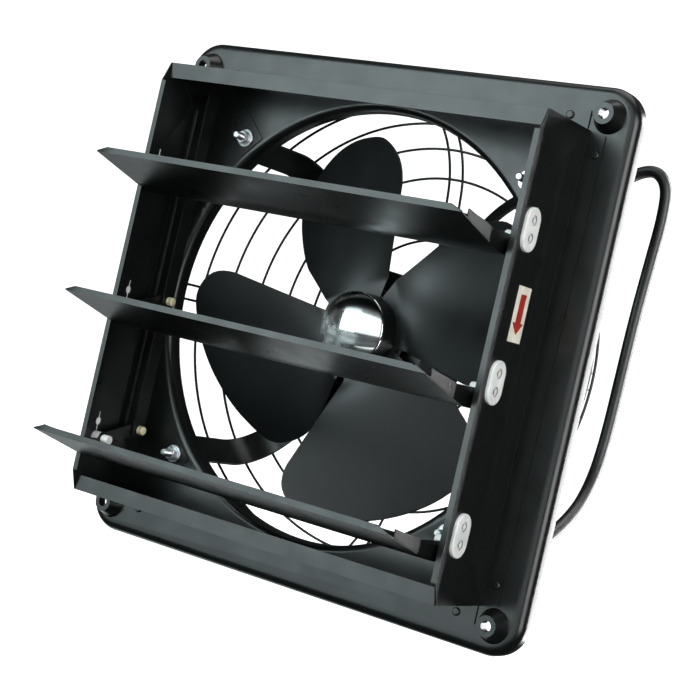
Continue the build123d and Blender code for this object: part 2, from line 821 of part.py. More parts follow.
def make_guard_back():
    return [guard_ring(guard_path(0) @ share) for share in back_ring_shares]


def guard_spoke(offset, sideways):
    """One long bent wire across the guard, in a plane beside the axis."""
    path = guard_path(offset)
    start = path @ 0
    section = Plane(origin=(start.X, start.Y, 0), z_dir=path % 0, x_dir=(0, 0, 1)) * Circle(guard_wire / 2)
    return Pos(0, 0, sideways) * sweep(section, path=path)


def make_guard_spokes():
    """Two pairs of wires, level ones inside the rings and upright ones outside."""
    step = guard_wire - guard_weld
    spokes = []
    for sideways in (-spoke_half_gap, spoke_half_gap):
        spokes.append(guard_spoke(-step, sideways))
        spokes.append(at_angle(guard_spoke(step, sideways), 90))
    return spokes


def make_guard_clips():
    """Flat clips under the arm bolts that hold the guard's base ring."""
    clips = []
    y = arm_back_y
    for i in range(arm_count):
        clip = block(
            arm_bolt_r - bolt_head_r, guard_base_r + clip_reach, y, y + clip_sheet, -clip_half_w, clip_half_w
        )
        clip -= rod_y(bolt_r + bolt_clear, y - overrun, y + overrun, arm_bolt_r)
        clips.append(at_angle(clip, 45 + 90 * i))
    return clips


def gland_line():
    """Two points on the gland's axis: where the cord leaves it and the cord's first bend."""
    reach = motor_r + gland_nut_height + gland_sleeve
    places = [polar(r, cord_gland_deg) for r in (reach, reach + cord_first_run)]
    return [Vector(x, panel_y + cord_gland_depth, z) for x, z in places]


def make_cord_gland():
    y = panel_y + cord_gland_depth
    nut_end = motor_r + gland_nut_height
    gland = rod_x(gland_nut_r, motor_r - motor_wall / 2, nut_end, y, 0)
    gland += Pos(nut_end + gland_sleeve / 2, y, 0) * Rot(0, 90, 0) * Cone(gland_sleeve_r, cord_d / 2, gland_sleeve)
    gland += rod_x(screw_head_r, motor_r - motor_wall * 2, nut_end, y, 0)
    gland -= block(0, motor_r, y - overrun * 2, y + overrun * 2, -overrun * 2, overrun * 2) & (
        rod_y(motor_r, y - overrun * 2, y + overrun * 2)
        - rod_x(screw_head_r, 0, motor_r, y, 0)
    )
    return at_angle(gland, cord_gland_deg)


def cord_route():
    """The cord's points from its gland to its cut end."""
    route = gland_line()
    for across, depth, up in cord_point_shares:
        route.append(Vector(across * panel_half, panel_y + depth * cord_gland_depth, up * panel_half))
    return route


def cord_radii(points):
    """The largest bends that each corner's two runs allow."""
    radii = []
    for before, here, after in zip(points, points[1:], points[2:]):
        turn = math.radians((here - before).get_angle(after - here))
        shorter = min((here - before).length, (after - here).length)
        radii.append(cord_bend_share * shorter / math.tan(turn / 2))
    return radii


def cord_path():
    points = cord_route()
    return FilletPolyline(*points, radius=cord_radii(points))


def make_mains_cord():
    path = cord_path()
    section = Plane(origin=path @ 0, z_dir=path % 0) * Circle(cord_d / 2)
    return sweep(section, path=path)


def make_cord_leads():
    """The insulated wires that stand out of the cord's cut end."""
    path = cord_path()
    end = path @ 1
    way = path % 1
    plane = Plane(origin=end, z_dir=way)
    leads = []
    for i in range(3):
        angle = math.radians(90 + 120 * i)
        x = lead_ring_r * math.cos(angle)
        y = lead_ring_r * math.sin(angle)
        lead = Pos(x, y, lead_length / 2) * Cylinder(lead_r, lead_length)
        leads.append(plane * lead)
    return leads


def make_direction_label():
    y = panel_y - label_depth
    return block(
        box_half_w, box_half_w + label_sheet, y - label_half_w, y + label_half_w,
        label_z - label_half_h, label_z + label_half_h,
    )


def make_direction_arrow():
    """A plain arrow that points down, printed on the label."""
    y = panel_y - label_depth
    tip_z = label_z - arrow_half_h
    neck_z = tip_z + arrow_head_h
    top_z = label_z + arrow_half_h
    outline = Polyline(
        (y, tip_z), (y + arrow_head_half, neck_z), (y + arrow_shaft_half, neck_z),
        (y + arrow_shaft_half, top_z), (y - arrow_shaft_half, top_z), (y - arrow_shaft_half, neck_z),
        (y - arrow_head_half, neck_z), close=True,
    )
    x = box_half_w + label_sheet
    return extrude_x(make_face(outline), x, x + arrow_sheet)


def save(name, shape):
    """Write one node's solid or group of solids."""
    solids = shape if isinstance(shape, list) else [shape]
    loose = [solid for item in solids for solid in item.solids()]
    part = loose[0] if len(loose) == 1 else Compound(children=loose)
    part.label = name
    export_step(part, f"parts/{name}.step")


def build():
    os.makedirs("parts", exist_ok=True)
    save("main_panel", make_main_panel())
    save("shutter_top_rail", make_rail(1))
    save("shutter_bottom_rail", make_rail(-1))
    save("shutter_left_side", make_side(-1))
    save("shutter_right_side", make_side(1))
    save("shutter_rivets", make_rivets())
    save("pivot_bearings_left", make_bearings(-1))
    save("pivot_bearings_right", make_bearings(1))
    for i, z in enumerate(pivot_zs):
        save(f"louvre_{i + 1}_blade", make_louvre(z))
        save(f"louvre_{i + 1}_pivot_pins", make_pivot_pins(z))
        save(f"louvre_{i + 1}_link_pin", make_link_pin(z))
    save("tie_bar", make_tie_bar())
    save("hub_drum", make_hub_drum())
    save("hub_cap", make_hub_cap())
    save("shaft_nut", make_shaft_nut())
    for i in range(blade_count):
        save(f"fan_blade_{i + 1}", make_fan_blade(i))
    save("rotor_shaft", make_rotor_shaft())
    save("rotor_core", make_rotor_core())
    save("stator_core", make_stator_core())
    save("stator_windings", make_stator_windings())
    save("front_bearing", make_bearing(bearing_places()[0]))
    save("rear_bearing", make_bearing(bearing_places()[1]))
    save("motor_front_shell", make_motor_front())
    save("motor_rear_shell", make_motor_rear())
    for i in range(arm_count):
        save(f"motor_arm_{i + 1}", make_motor_arm(i))
    save("arm_bolts", make_arm_bolts())
    save("arm_washers", make_arm_washers())
    save("arm_nuts", make_arm_nuts())
    save("motor_screws", make_motor_screws())
    save("guard_base_ring", make_guard_ring(0))
    for i, share in enumerate(side_ring_shares):
        save(f"guard_side_ring_{i + 1}", make_guard_ring(share))
    save("guard_back_rings", make_guard_back())
    save("guard_spokes", make_guard_spokes())
    save("guard_clips", make_guard_clips())
    save("cord_gland", make_cord_gland())
    save("mains_cord", make_mains_cord())
    save("cord_leads", make_cord_leads())
    save("direction_label", make_direction_label())
    save("direction_arrow", make_direction_arrow())
    path = cord_path()
    print("cord length", round(path.length, 1))
    print("cord radii", [round(r, 1) for r in cord_radii(cord_route())])
    print("section times length", round(math.pi * cord_d ** 2 / 4 * path.length, 1))


build()
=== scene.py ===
"""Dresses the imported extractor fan: sheet metal, louvres, blades, motor, guard, cord and stage."""

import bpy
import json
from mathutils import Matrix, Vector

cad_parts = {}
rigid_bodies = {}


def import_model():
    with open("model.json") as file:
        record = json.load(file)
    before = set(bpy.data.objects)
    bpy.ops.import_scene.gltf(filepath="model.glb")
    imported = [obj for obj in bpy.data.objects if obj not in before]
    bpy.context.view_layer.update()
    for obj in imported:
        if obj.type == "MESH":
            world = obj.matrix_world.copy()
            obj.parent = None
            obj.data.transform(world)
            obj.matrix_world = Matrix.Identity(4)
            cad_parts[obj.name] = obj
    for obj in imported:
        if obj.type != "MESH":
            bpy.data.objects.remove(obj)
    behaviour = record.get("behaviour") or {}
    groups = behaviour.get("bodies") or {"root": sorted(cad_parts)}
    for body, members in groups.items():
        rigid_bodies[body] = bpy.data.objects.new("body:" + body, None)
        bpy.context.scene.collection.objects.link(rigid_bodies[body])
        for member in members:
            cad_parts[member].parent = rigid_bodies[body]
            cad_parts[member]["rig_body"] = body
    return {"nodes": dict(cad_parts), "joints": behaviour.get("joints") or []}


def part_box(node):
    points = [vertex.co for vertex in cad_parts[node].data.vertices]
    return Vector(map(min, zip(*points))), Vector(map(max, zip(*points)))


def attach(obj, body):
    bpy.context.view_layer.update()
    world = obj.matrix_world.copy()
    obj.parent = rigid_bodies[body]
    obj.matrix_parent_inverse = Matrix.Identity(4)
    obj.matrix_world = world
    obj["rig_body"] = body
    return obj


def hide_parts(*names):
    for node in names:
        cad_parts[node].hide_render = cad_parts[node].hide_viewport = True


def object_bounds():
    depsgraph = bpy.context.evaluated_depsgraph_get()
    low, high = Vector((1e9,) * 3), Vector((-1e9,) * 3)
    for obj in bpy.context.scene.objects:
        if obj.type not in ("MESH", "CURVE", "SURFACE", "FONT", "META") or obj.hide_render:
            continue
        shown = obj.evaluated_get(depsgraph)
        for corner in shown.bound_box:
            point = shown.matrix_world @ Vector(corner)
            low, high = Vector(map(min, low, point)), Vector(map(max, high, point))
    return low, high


bl_info = {
    "name": "Extractor Fan Dresser",
    "version": (1, 0, 0),
    "blender": (4, 5, 0),
    "location": "3D View > Sidebar > Extractor Fan",
    "description": "Gives a louvred axial extractor fan its finished surfaces, cord and studio",
    "category": "Object",
}

import json
import math

import bmesh
import bpy
import numpy as np
from bpy.props import FloatProperty, IntProperty, PointerProperty, StringProperty
from mathutils import Matrix, Vector

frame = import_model()
CAD_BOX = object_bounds()
MM = 0.001

# Depths along Y of the main panel's front and back. Its front lies behind the plane of the screw
# heads, where the frame's origin is, by the height of the bosses.
PANEL_Y = 9.5 * MM
PANEL_BACK_Y = 10.4 * MM

# Mesh points closer than WELD are merged, and edges shorter than NO_LENGTH are taken out.
WELD = 2e-6
NO_LENGTH = 1e-7

BOX_LOW = {name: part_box(name)[0] for name in frame["nodes"]}
BOX_HIGH = {name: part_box(name)[1] for name in frame["nodes"]}
JOINTS = {joint["name"]: joint for joint in frame["joints"]}


# ---------------------------------------------------------------- colour and nodes


def linear(hex_colour):
    """An sRGB hex colour as linear red, green, blue and alpha."""
    parts = [int(hex_colour[i : i + 2], 16) / 255 for i in (1, 3, 5)]
    curve = [c / 12.92 if c <= 0.04045 else ((c + 0.055) / 1.055) ** 2.4 for c in parts]
    return (*curve, 1.0)


def put(tree, kind, feed=None, **settings):
    """Add one node. Settings name a property, or a socket by its label with _ for a space.
    feed maps a socket's label or number to the socket that drives it."""
    node = tree.nodes.new(kind)
    for key, value in settings.items():
        label = key.replace("_", " ")
        sockets = [s for s in node.inputs if s.name.lower() == label.lower()]
        if hasattr(node, key) and not sockets:
            setattr(node, key, value)
        else:
            sockets[0].default_value = value
    for key, source in (feed or {}).items():
        tree.links.new(source, node.inputs[key])
    return node


def blank_material(name):
    """A material with only its output, and the Object coordinates that its patterns read."""
    material = bpy.data.materials.new(name)
    material.use_nodes = True
    tree = material.node_tree
    tree.nodes.clear()
    place = put(tree, "ShaderNodeTexCoord").outputs["Object"]
    return material, tree, place


def per_metre(cell_mm):
    """The noise scale that draws cells of a real size in millimetres."""
    return 1000.0 / cell_mm


def blotches(tree, place, cell_mm, low, high, detail=3.0):
    """Soft noise with cells of a real size, stretched between two values."""
    feed = {"Vector": place}
    noise = put(tree, "ShaderNodeTexNoise", feed, scale=per_metre(cell_mm), detail=detail)
    spread = put(
        tree, "ShaderNodeMapRange", {"Value": noise.outputs["Fac"]},
        from_min=0.3, from_max=0.7, to_min=low, to_max=high,
    )
    return spread.outputs["Result"]


def grain(tree, place, cell_mm, depth_mm, strength, below=None):
    """A bump with grains of a real size and depth."""
    feed = {"Vector": place}
    noise = put(tree, "ShaderNodeTexNoise", feed, scale=per_metre(cell_mm), detail=2.0)
    feed = {"Height": noise.outputs["Fac"]}
    if below is not None:
        feed["Normal"] = below
    bump = put(tree, "ShaderNodeBump", feed, strength=strength, distance=depth_mm * MM)
    return bump.outputs["Normal"]


def two_tones(tree, factor, first, second):
    """Blend two colours by a factor."""
    mix = put(tree, "ShaderNodeMix", data_type="RGBA")
    mix.inputs[6].default_value = linear(first)
    mix.inputs[7].default_value = linear(second)
    tree.links.new(factor, mix.inputs[0])
    return mix.outputs[2]


def close_material(material, tree, feed, **settings):
    """Add the main shader with its links and constants, and join it to the output."""
    shader = put(tree, "ShaderNodeBsdfPrincipled", feed, **settings)
    put(tree, "ShaderNodeOutputMaterial", {"Surface": shader.outputs[0]})
    return material


def coated_metal(name, dark, light, rough, peel_mm, peel_strength, cloud_mm=26.0):
    """Paint on metal: a pigmented film with an orange-peel surface and slightly uneven gloss."""
    material, tree, place = blank_material(name)
    tone = two_tones(tree, blotches(tree, place, cloud_mm, 0.0, 1.0), dark, light)
    gloss = blotches(tree, place, cloud_mm * 0.6, *rough, detail=4.0)
    fine = grain(tree, place, peel_mm * 0.35, depth_mm=0.01, strength=peel_strength * 0.5)
    surface = grain(tree, place, peel_mm, depth_mm=0.03, strength=peel_strength, below=fine)
    feed = {"Base Color": tone, "Roughness": gloss, "Normal": surface}
    return close_material(material, tree, feed, ior=1.5, metallic=0.0)


def plated_metal(name, dark, light, rough, cell_mm, grain_strength):
    """Bare or plated metal: full metallic with cloudy tone and gloss from plating or handling."""
    material, tree, place = blank_material(name)
    tone = two_tones(tree, blotches(tree, place, cell_mm, 0.0, 1.0), dark, light)
    gloss = blotches(tree, place, cell_mm * 0.7, *rough)
    surface = grain(tree, place, cell_mm * 0.2, depth_mm=0.01, strength=grain_strength)
    feed = {"Base Color": tone, "Roughness": gloss, "Normal": surface}
    return close_material(material, tree, feed, metallic=1.0)


# The clear film on the chrome cap: the way in which its share rises, and the distances along it
# from the fan's axis at which it starts and is full.
FILM_WAY = (-0.68, 0.0, -0.73)
FILM_START = 4.0 * MM
FILM_FULL = 13.0 * MM


def filmed_chrome(name, dark, light):
    """Chrome whose gloss falls off towards one side, where a wrinkled clear film scatters it. The
    film's share rises from FILM_START to FILM_FULL and is broken into patches by noise."""
    material, tree, place = blank_material(name)
    along = put(tree, "ShaderNodeVectorMath", {0: place}, operation="DOT_PRODUCT")
    along.inputs[1].default_value = FILM_WAY
    edge = put(
        tree, "ShaderNodeMapRange", {"Value": along.outputs["Value"]},
        from_min=FILM_START, from_max=FILM_FULL, to_min=0.0, to_max=1.0,
    )
    patches = blotches(tree, place, 3.0, 0.35, 1.3)
    parts = {0: edge.outputs["Result"], 1: patches}
    film = put(tree, "ShaderNodeMath", parts, operation="MULTIPLY").outputs[0]
    tone = two_tones(tree, blotches(tree, place, 12.0, 0.0, 1.0), dark, light)
    gloss = put(
        tree, "ShaderNodeMapRange", {"Value": film},
        from_min=0.0, from_max=1.0, to_min=0.11, to_max=0.55,
    ).outputs["Result"]
    wrinkles = put(
        tree, "ShaderNodeTexNoise", {"Vector": place},
        scale=per_metre(1.8), detail=2.0, distortion=1.5,
    )
    parts = {0: wrinkles.outputs["Fac"], 1: film}
    height = put(tree, "ShaderNodeMath", parts, operation="MULTIPLY").outputs[0]
    bump = put(tree, "ShaderNodeBump", {"Height": height}, strength=0.5, distance=0.12 * MM)
    feed = {"Base Color": tone, "Roughness": gloss, "Normal": bump.outputs["Normal"]}
    return close_material(material, tree, feed, metallic=1.0)


# How near another face has to stand for painted shade to darken the hollow between them.
PAINTED_SHADE_REACH = 1.6 * MM


def moulded_plastic(name, dark, light, rough, ior, glow=0.0, recess_shade=None):
    """Injection-moulded plastic: even colour, a faint spark-eroded grain and slight flow marks.
    With a shade colour, hollows whose sides stand within the reach above get it as painted shade."""
    material, tree, place = blank_material(name)
    tone = two_tones(tree, blotches(tree, place, 7.0, 0.0, 1.0), dark, light)
    if recess_shade:
        # Painted shade: ambient occlusion darkens the colour in recesses towards the shade colour.
        hollow = put(
            tree, "ShaderNodeAmbientOcclusion", distance=PAINTED_SHADE_REACH, samples=8, only_local=True,
        )
        open_share = put(
            tree, "ShaderNodeMapRange", {"Value": hollow.outputs["AO"]},
            from_min=0.45, from_max=0.85, to_min=0.0, to_max=1.0,
        )
        feed = {0: open_share.outputs["Result"], 7: tone}
        mix = put(tree, "ShaderNodeMix", feed, data_type="RGBA")
        mix.inputs[6].default_value = linear(recess_shade)
        tone = mix.outputs[2]
    gloss = blotches(tree, place, 4.0, *rough)
    surface = grain(tree, place, 0.35, depth_mm=0.01, strength=0.15)
    feed = {"Base Color": tone, "Roughness": gloss, "Normal": surface}
    settings = {"ior": ior}
    if glow:
        settings.update(subsurface_weight=glow, subsurface_scale=1.5 * MM)
    return close_material(material, tree, feed, **settings)


# Blender's band texture multiplies coordinates by this before it takes their sine.
BAND_FACTOR = 20.0


def banded_metal(name, dark, light, pitch_mm, direction, rough):
    """Metal with regular bands: turning marks round an axis or the edges of stacked sheet. The
    sine repeats every 2 pi, so the bands drawn are 6.3 pitches apart, wide enough to show."""
    material, tree, place = blank_material(name)
    wave = put(
        tree, "ShaderNodeTexWave", {"Vector": place}, wave_type="BANDS",
        bands_direction=direction, scale=per_metre(pitch_mm) / BAND_FACTOR,
        distortion=0.6, detail=1.0, detail_scale=4.0,
    )
    tone = two_tones(tree, wave.outputs["Fac"], dark, light)
    gloss = blotches(tree, place, 6.0, *rough)
    height = {"Height": wave.outputs["Fac"]}
    bump = put(tree, "ShaderNodeBump", height, strength=0.35, distance=0.05 * MM)
    feed = {"Base Color": tone, "Roughness": gloss, "Normal": bump.outputs["Normal"]}
    return close_material(material, tree, feed, metallic=1.0)


def make_finishes(colours):
    """Every finish of the fan, by the name of the record's material slot."""
    return {
        # Polyester powder coat baked on pressed steel: near-black satin, fine orange peel that
        # breaks up the edges of reflections, a grey sheen where it mirrors a light.
        "black_paint": coated_metal(
            "Satin_black_powder_coat", colours.coat_dark, colours.coat_light,
            rough=(0.27, 0.36), peel_mm=0.9, peel_strength=0.10,
        ),
        # Stoved enamel on pressed aluminium blades: a little duller than the panel, so the face
        # of a blade shades softly from hub to tip.
        "fan_paint": coated_metal(
            "Stoved_black_enamel_blades", "#0A0D0E", "#101415",
            rough=(0.38, 0.46), peel_mm=1.4, peel_strength=0.07, cloud_mm=40.0,
        ),
        # Enamelled steel drum: a shade lighter and glossier than the blades.
        "drum_steel": coated_metal(
            "Black_enamelled_drum", "#101314", "#191D1E",
            rough=(0.26, 0.36), peel_mm=1.2, peel_strength=0.06, cloud_mm=12.0,
        ),
        # Drawn steel wire dipped in black paint: thin glossy film with small runs.
        "wire_paint": coated_metal(
            "Black_dipped_steel_wire", "#0A0B0B", "#121414",
            rough=(0.28, 0.40), peel_mm=2.0, peel_strength=0.12, cloud_mm=9.0,
        ),
        # Decorative chrome on a spun steel cap, with the crinkled remains of a clear packing film
        # at its lower left: mirror bright to the right, cloudy grey under the film.
        "cap_chrome": filmed_chrome("Chrome_plated_spun_cap", "#DDE0E0", "#F2F4F4"),
        # Bright zinc plate on screws, nuts and washers: blue-white with a frosted sheen.
        "zinc": plated_metal(
            "Bright_zinc_plate", "#C4C8CC", "#ECEEF0",
            rough=(0.30, 0.42), cell_mm=1.6, grain_strength=0.06,
        ),
        # Ground and turned steel of shaft and bearings: rings along the length, drawn coarser
        # than real turning marks so that they show.
        "turned_steel": banded_metal(
            "Turned_steel", "#8E9194", "#BFC2C5", pitch_mm=0.5, direction="Y", rough=(0.22, 0.38),
        ),
        # Edges of stacked electrical steel sheets of half a millimetre, drawn coarser to show.
        "core_steel": banded_metal(
            "Stacked_electrical_steel", "#4A4C50", "#7B7E82",
            pitch_mm=0.5, direction="Y", rough=(0.40, 0.55),
        ),
        # Enamelled copper wire in the end turns: reddish metal in bands wider than one wire.
        "copper": banded_metal(
            "Enamelled_copper_winding", "#8A3F1E", "#C9713D",
            pitch_mm=0.8, direction="X", rough=(0.25, 0.40),
        ),
        # Natural white nylon of pads and pivot pins: waxy, slightly translucent, soft sheen, painted
        # shade in hollows.
        "white_plastic": moulded_plastic(
            "Moulded_white_nylon", colours.pad_dark, colours.pad_light,
            # 4A4A48 is the painted shade laid into the pads' hollows by ambient occlusion.
            rough=(0.32, 0.42), ior=1.53, glow=0.12, recess_shade="#4A4A48",
        ),
        # Unfilled nylon clips, yellowed to cream.
        "cream_plastic": moulded_plastic(
            "Moulded_cream_nylon", "#CFC79F", "#E4DDBB", rough=(0.35, 0.45), ior=1.53, glow=0.12,
        ),
        # Black polyamide gland: matt moulded grain.
        "gland_plastic": moulded_plastic(
            "Moulded_black_polyamide", "#0B0B0C", "#151617", rough=(0.42, 0.55), ior=1.53,
        ),
        # Extruded flexible PVC sheath: soft-sheen black with faint drawing grain.
        "cord_rubber": moulded_plastic(
            "Extruded_PVC_sheath", "#08090A", "#111213", rough=(0.34, 0.46), ior=1.52,
        ),
        # Ivory vinyl film with a satin face.
        "label_ivory": moulded_plastic(
            "Ivory_vinyl_film", colours.label_dark, colours.label_light,
            rough=(0.34, 0.44), ior=1.5,
        ),
        # Screen-printed red ink: solid colour, satin.
        "arrow_red": moulded_plastic(
            "Screen_printed_red_ink", "#9C2622", colours.arrow_red, rough=(0.36, 0.46), ior=1.5,
        ),
    }



FINISHES = {}


def finish_of(slot):
    """The finish for a record slot, made with the scene's colours on first use."""
    if not FINISHES:
        FINISHES.update(make_finishes(bpy.context.scene.fan_colours))
    if slot not in FINISHES:
        raise RuntimeError(f"no finish is defined for slot {slot}")
    return FINISHES[slot]


# ---------------------------------------------------------------- surfaces


def grid_faces(rows, columns, wrap_rows, wrap_columns):
    """Quads between neighbouring points of a grid, as an array of point numbers."""
    row = np.arange(rows if wrap_rows else rows - 1)[:, None]
    column = np.arange(columns if wrap_columns else columns - 1)[None, :]
    next_row = (row + 1) % rows
    next_column = (column + 1) % columns
    corners = [row * columns + column, row * columns + next_column,
               next_row * columns + next_column, next_row * columns + column]
    return np.stack(corners, axis=-1).reshape(-1, 4)


def mesh_of(name, surfaces):
    """One mesh from several surfaces, each (points, wrap rows, wrap columns). Doubles are
    merged, which also closes seams and poles, and faces are turned outwards."""
    points, faces, start = [], [], 0
    for grid, wrap_rows, wrap_columns in surfaces:
        rows, columns = grid.shape[:2]
        points.append(grid.reshape(-1, 3))
        faces.append(grid_faces(rows, columns, wrap_rows, wrap_columns) + start)
        start += rows * columns
    mesh = bpy.data.meshes.new(name)
    mesh.from_pydata(np.concatenate(points), [], np.concatenate(faces))
    tidy = bmesh.new()
    tidy.from_mesh(mesh)
    bmesh.ops.remove_doubles(tidy, verts=tidy.verts, dist=WELD)
    bmesh.ops.dissolve_degenerate(tidy, edges=tidy.edges, dist=NO_LENGTH)
    bmesh.ops.recalc_face_normals(tidy, faces=tidy.faces)
    tidy.to_mesh(mesh)
    tidy.free()
    return mesh


def place_piece(name, mesh, body, slot, node, sharp_deg):
    """Link a mesh as one finished piece: smooth-shaded with sharp folds kept, riding on its
    body, in its finish, standing for the CAD node it replaces."""
    mesh.polygons.foreach_set("use_smooth", np.ones(len(mesh.polygons), bool))
    mesh.set_sharp_from_angle(angle=math.radians(sharp_deg))
    piece = bpy.data.objects.new(name, mesh)
    bpy.context.scene.collection.objects.link(piece)
    mesh.materials.clear()
    mesh.materials.append(finish_of(slot))
    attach(piece, body)
    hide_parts(node)
    return piece


def surface_piece(node, surfaces, body, slot, sharp_deg):
    """Place a piece that is made of surfaces and named for the CAD node it replaces."""
    place_piece(node + "_finished", mesh_of(node, surfaces), body, slot, node, sharp_deg)


def round_folds(piece, width_mm, angle_deg):
    """Round the sheared and folded edges of a piece."""
    bevel = piece.modifiers.new("Rounded_edges", "BEVEL")
    bevel.width = width_mm * MM
    bevel.segments = 2
    bevel.limit_method = "ANGLE"
    bevel.angle_limit = math.radians(angle_deg)
    bevel.use_clamp_overlap = True
    bevel.harden_normals = True


# Neighbouring faces of a CAD node that meet at less than this are joined.
FLAT_DEG = 0.4


def softened_node(node, slot, width_mm, angle_deg=30.0):
    """A CAD node's own solid with its sharp corners rounded: the node's mesh is copied, its
    loose triangles are merged, flat neighbours are joined, and a bevel runs along the folds."""
    source = frame["nodes"][node]
    mesh = source.data.copy()
    mesh.name = node + "_finished"
    tidy = bmesh.new()
    tidy.from_mesh(mesh)
    bmesh.ops.remove_doubles(tidy, verts=tidy.verts, dist=WELD)
    bmesh.ops.dissolve_limit(
        tidy, angle_limit=math.radians(FLAT_DEG), verts=tidy.verts, edges=tidy.edges
    )
    tidy.to_mesh(mesh)
    tidy.free()
    piece = place_piece(node + "_finished", mesh, source["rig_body"], slot, node, angle_deg)
    round_folds(piece, width_mm, angle_deg)
    return piece


def full_turn(count):
    """Evenly spaced angles of a full turn, without the last, which would repeat the first."""
    return np.linspace(0, 2 * np.pi, count, endpoint=False)


def hexagon(angle, half_flats):
    """The radius of a hexagon at each angle: half its flats over the cosine of the angle to the
    middle of the nearest flat."""
    return half_flats / np.cos((angle + np.pi / 6) % (np.pi / 3) - np.pi / 6)


def turned(profile, count, centre=(0.0, 0.0)):
    """A profile of radius and depth carried round the Y axis through centre: each point goes to
    x = r cos a, z = r sin a for a full circle of a."""
    profile = np.asarray(profile, float)
    angle = full_turn(count)
    radius = profile[:, 0][:, None]
    x = centre[0] + radius * np.cos(angle)
    z = centre[1] + radius * np.sin(angle)
    y = np.repeat(profile[:, 1][:, None], count, axis=1)
    return np.stack([x, y, z], axis=-1)


def turned_about_x(lengths, radii, centre, count):
    """Radii at lengths along X, carried round the line through centre: y = r cos a, z = r sin a
    for a full circle of a. The ends are closed where the radius is 0."""
    angle = full_turn(count)
    x = np.repeat(lengths[:, None], count, axis=1)
    y = centre[0] + radii[:, None] * np.cos(angle)
    z = centre[1] + radii[:, None] * np.sin(angle)
    return [(np.stack([x, y, z], axis=-1), False, True)]


def plate(face, depth, blunt_ends):
    """Both sides of a plate, the second at a depth along X, and the strips that join their
    edges. Ends that shrink to a point need no strip."""
    back = face + np.array([depth, 0.0, 0.0])
    edges = [(face[0], back[0]), (face[-1], back[-1])]
    if blunt_ends:
        edges += [(face[:, 0], back[:, 0]), (face[:, -1], back[:, -1])]
    return [(grid, False, False) for grid in [face, back, *map(np.stack, edges)]]


def arc_points(centre, radius, start_deg, end_deg, count):
    """Points on an arc, in the plane of two numbers."""
    angle = np.radians(np.linspace(start_deg, end_deg, count))
    across, along = centre[0] + radius * np.cos(angle), centre[1] + radius * np.sin(angle)
    return np.stack([across, along], axis=-1)


def arc_through(first, middle, last, count):
    """Points on the circle through three points, from the first to the last."""
    (ax, ay), (bx, by), (cx, cy) = first, middle, last
    d = 2 * (ax * (by - cy) + bx * (cy - ay) + cx * (ay - by))
    a2, b2, c2 = ax * ax + ay * ay, bx * bx + by * by, cx * cx + cy * cy
    ux = (a2 * (by - cy) + b2 * (cy - ay) + c2 * (ay - by)) / d
    uy = (a2 * (cx - bx) + b2 * (ax - cx) + c2 * (bx - ax)) / d
    turn = np.unwrap([math.atan2(y - uy, x - ux) for x, y in (first, middle, last)])
    radius = math.hypot(ax - ux, ay - uy)
    return arc_points((ux, uy), radius, math.degrees(turn[0]), math.degrees(turn[2]), count)


def rounded_run(corners, radii, step):
    """Straight runs joined by tangent arcs. At a corner that turns by t, each run is cut back
    by radius * tan(t / 2), and an arc of that radius joins the two cut ends."""
    corners = np.asarray(corners, float)
    line = [corners[:1]]
    for i, radius in enumerate(radii):
        before, here, after = corners[i], corners[i + 1], corners[i + 2]
        way_in = (here - before) / np.linalg.norm(here - before)
        way_out = (after - here) / np.linalg.norm(after - here)
        turn = math.acos(float(np.clip(way_in @ way_out, -1, 1)))
        cut = radius * math.tan(turn / 2)
        side = way_out - way_in * (way_in @ way_out)
        side /= np.linalg.norm(side)
        centre = here - way_in * cut + side * radius
        sweep = np.linspace(0, turn, max(4, int(radius * turn / step)))[:, None]
        line.append(centre + radius * (np.sin(sweep) * way_in - np.cos(sweep) * side))
    line.append(corners[-1:])
    return np.concatenate(line)


def tube(centres, sides, ups, radius, count):
    """A round wire along a line of centres: each centre carries a circle in its own side and
    up directions. The two end rows shrink to the centre, so that the wire is closed."""
    angle = full_turn(count)[None, :, None]
    radii = np.full(len(centres) + 2, radius)
    radii[0] = radii[-1] = 0.0
    rows = np.r_[0, np.arange(len(centres)), len(centres) - 1]
    middle, side, up = centres[rows][:, None, :], sides[rows][:, None, :], ups[rows][:, None, :]
    return middle + radii[:, None, None] * (np.cos(angle) * side + np.sin(angle) * up)


def turn_about_y(points, degrees):
    """Turn points about the fan's axis, from +X towards +Z."""
    a = math.radians(degrees)
    x, y, z = points[..., 0], points[..., 1], points[..., 2]
    across, up = x * math.cos(a) - z * math.sin(a), x * math.sin(a) + z * math.cos(a)
    return np.stack([across, y, up], axis=-1)


def moved(points, x=0.0, y=0.0, z=0.0):
    """Shift points by a distance along each axis."""
    return points + np.array([x, y, z])


# ---------------------------------------------------------------- settings


class FanColours(bpy.types.PropertyGroup):
    """Colours of the fan's finishes, as sRGB hex values"""

    coat_dark: StringProperty(
        name="Coat, dark", description="Darker tone of the powder coat", default="#080A0A"
    )
    coat_light: StringProperty(
        name="Coat, light", description="Lighter tone of the powder coat", default="#0E1111"
    )
    pad_dark: StringProperty(
        name="Pad, dark", description="Darker tone of the white pads", default="#D9DAD8"
    )
    pad_light: StringProperty(
        name="Pad, light", description="Lighter tone of the white pads", default="#F1F1EF"
    )
    label_dark: StringProperty(
        name="Label, dark", description="Darker tone of the label film", default="#D8D2C0"
    )
    label_light: StringProperty(
        name="Label, light", description="Lighter tone of the label film", default="#EDE8DA"
    )
    arrow_red: StringProperty(
        name="Arrow", description="Red of the arrow's ink", default="#B0302C"
    )


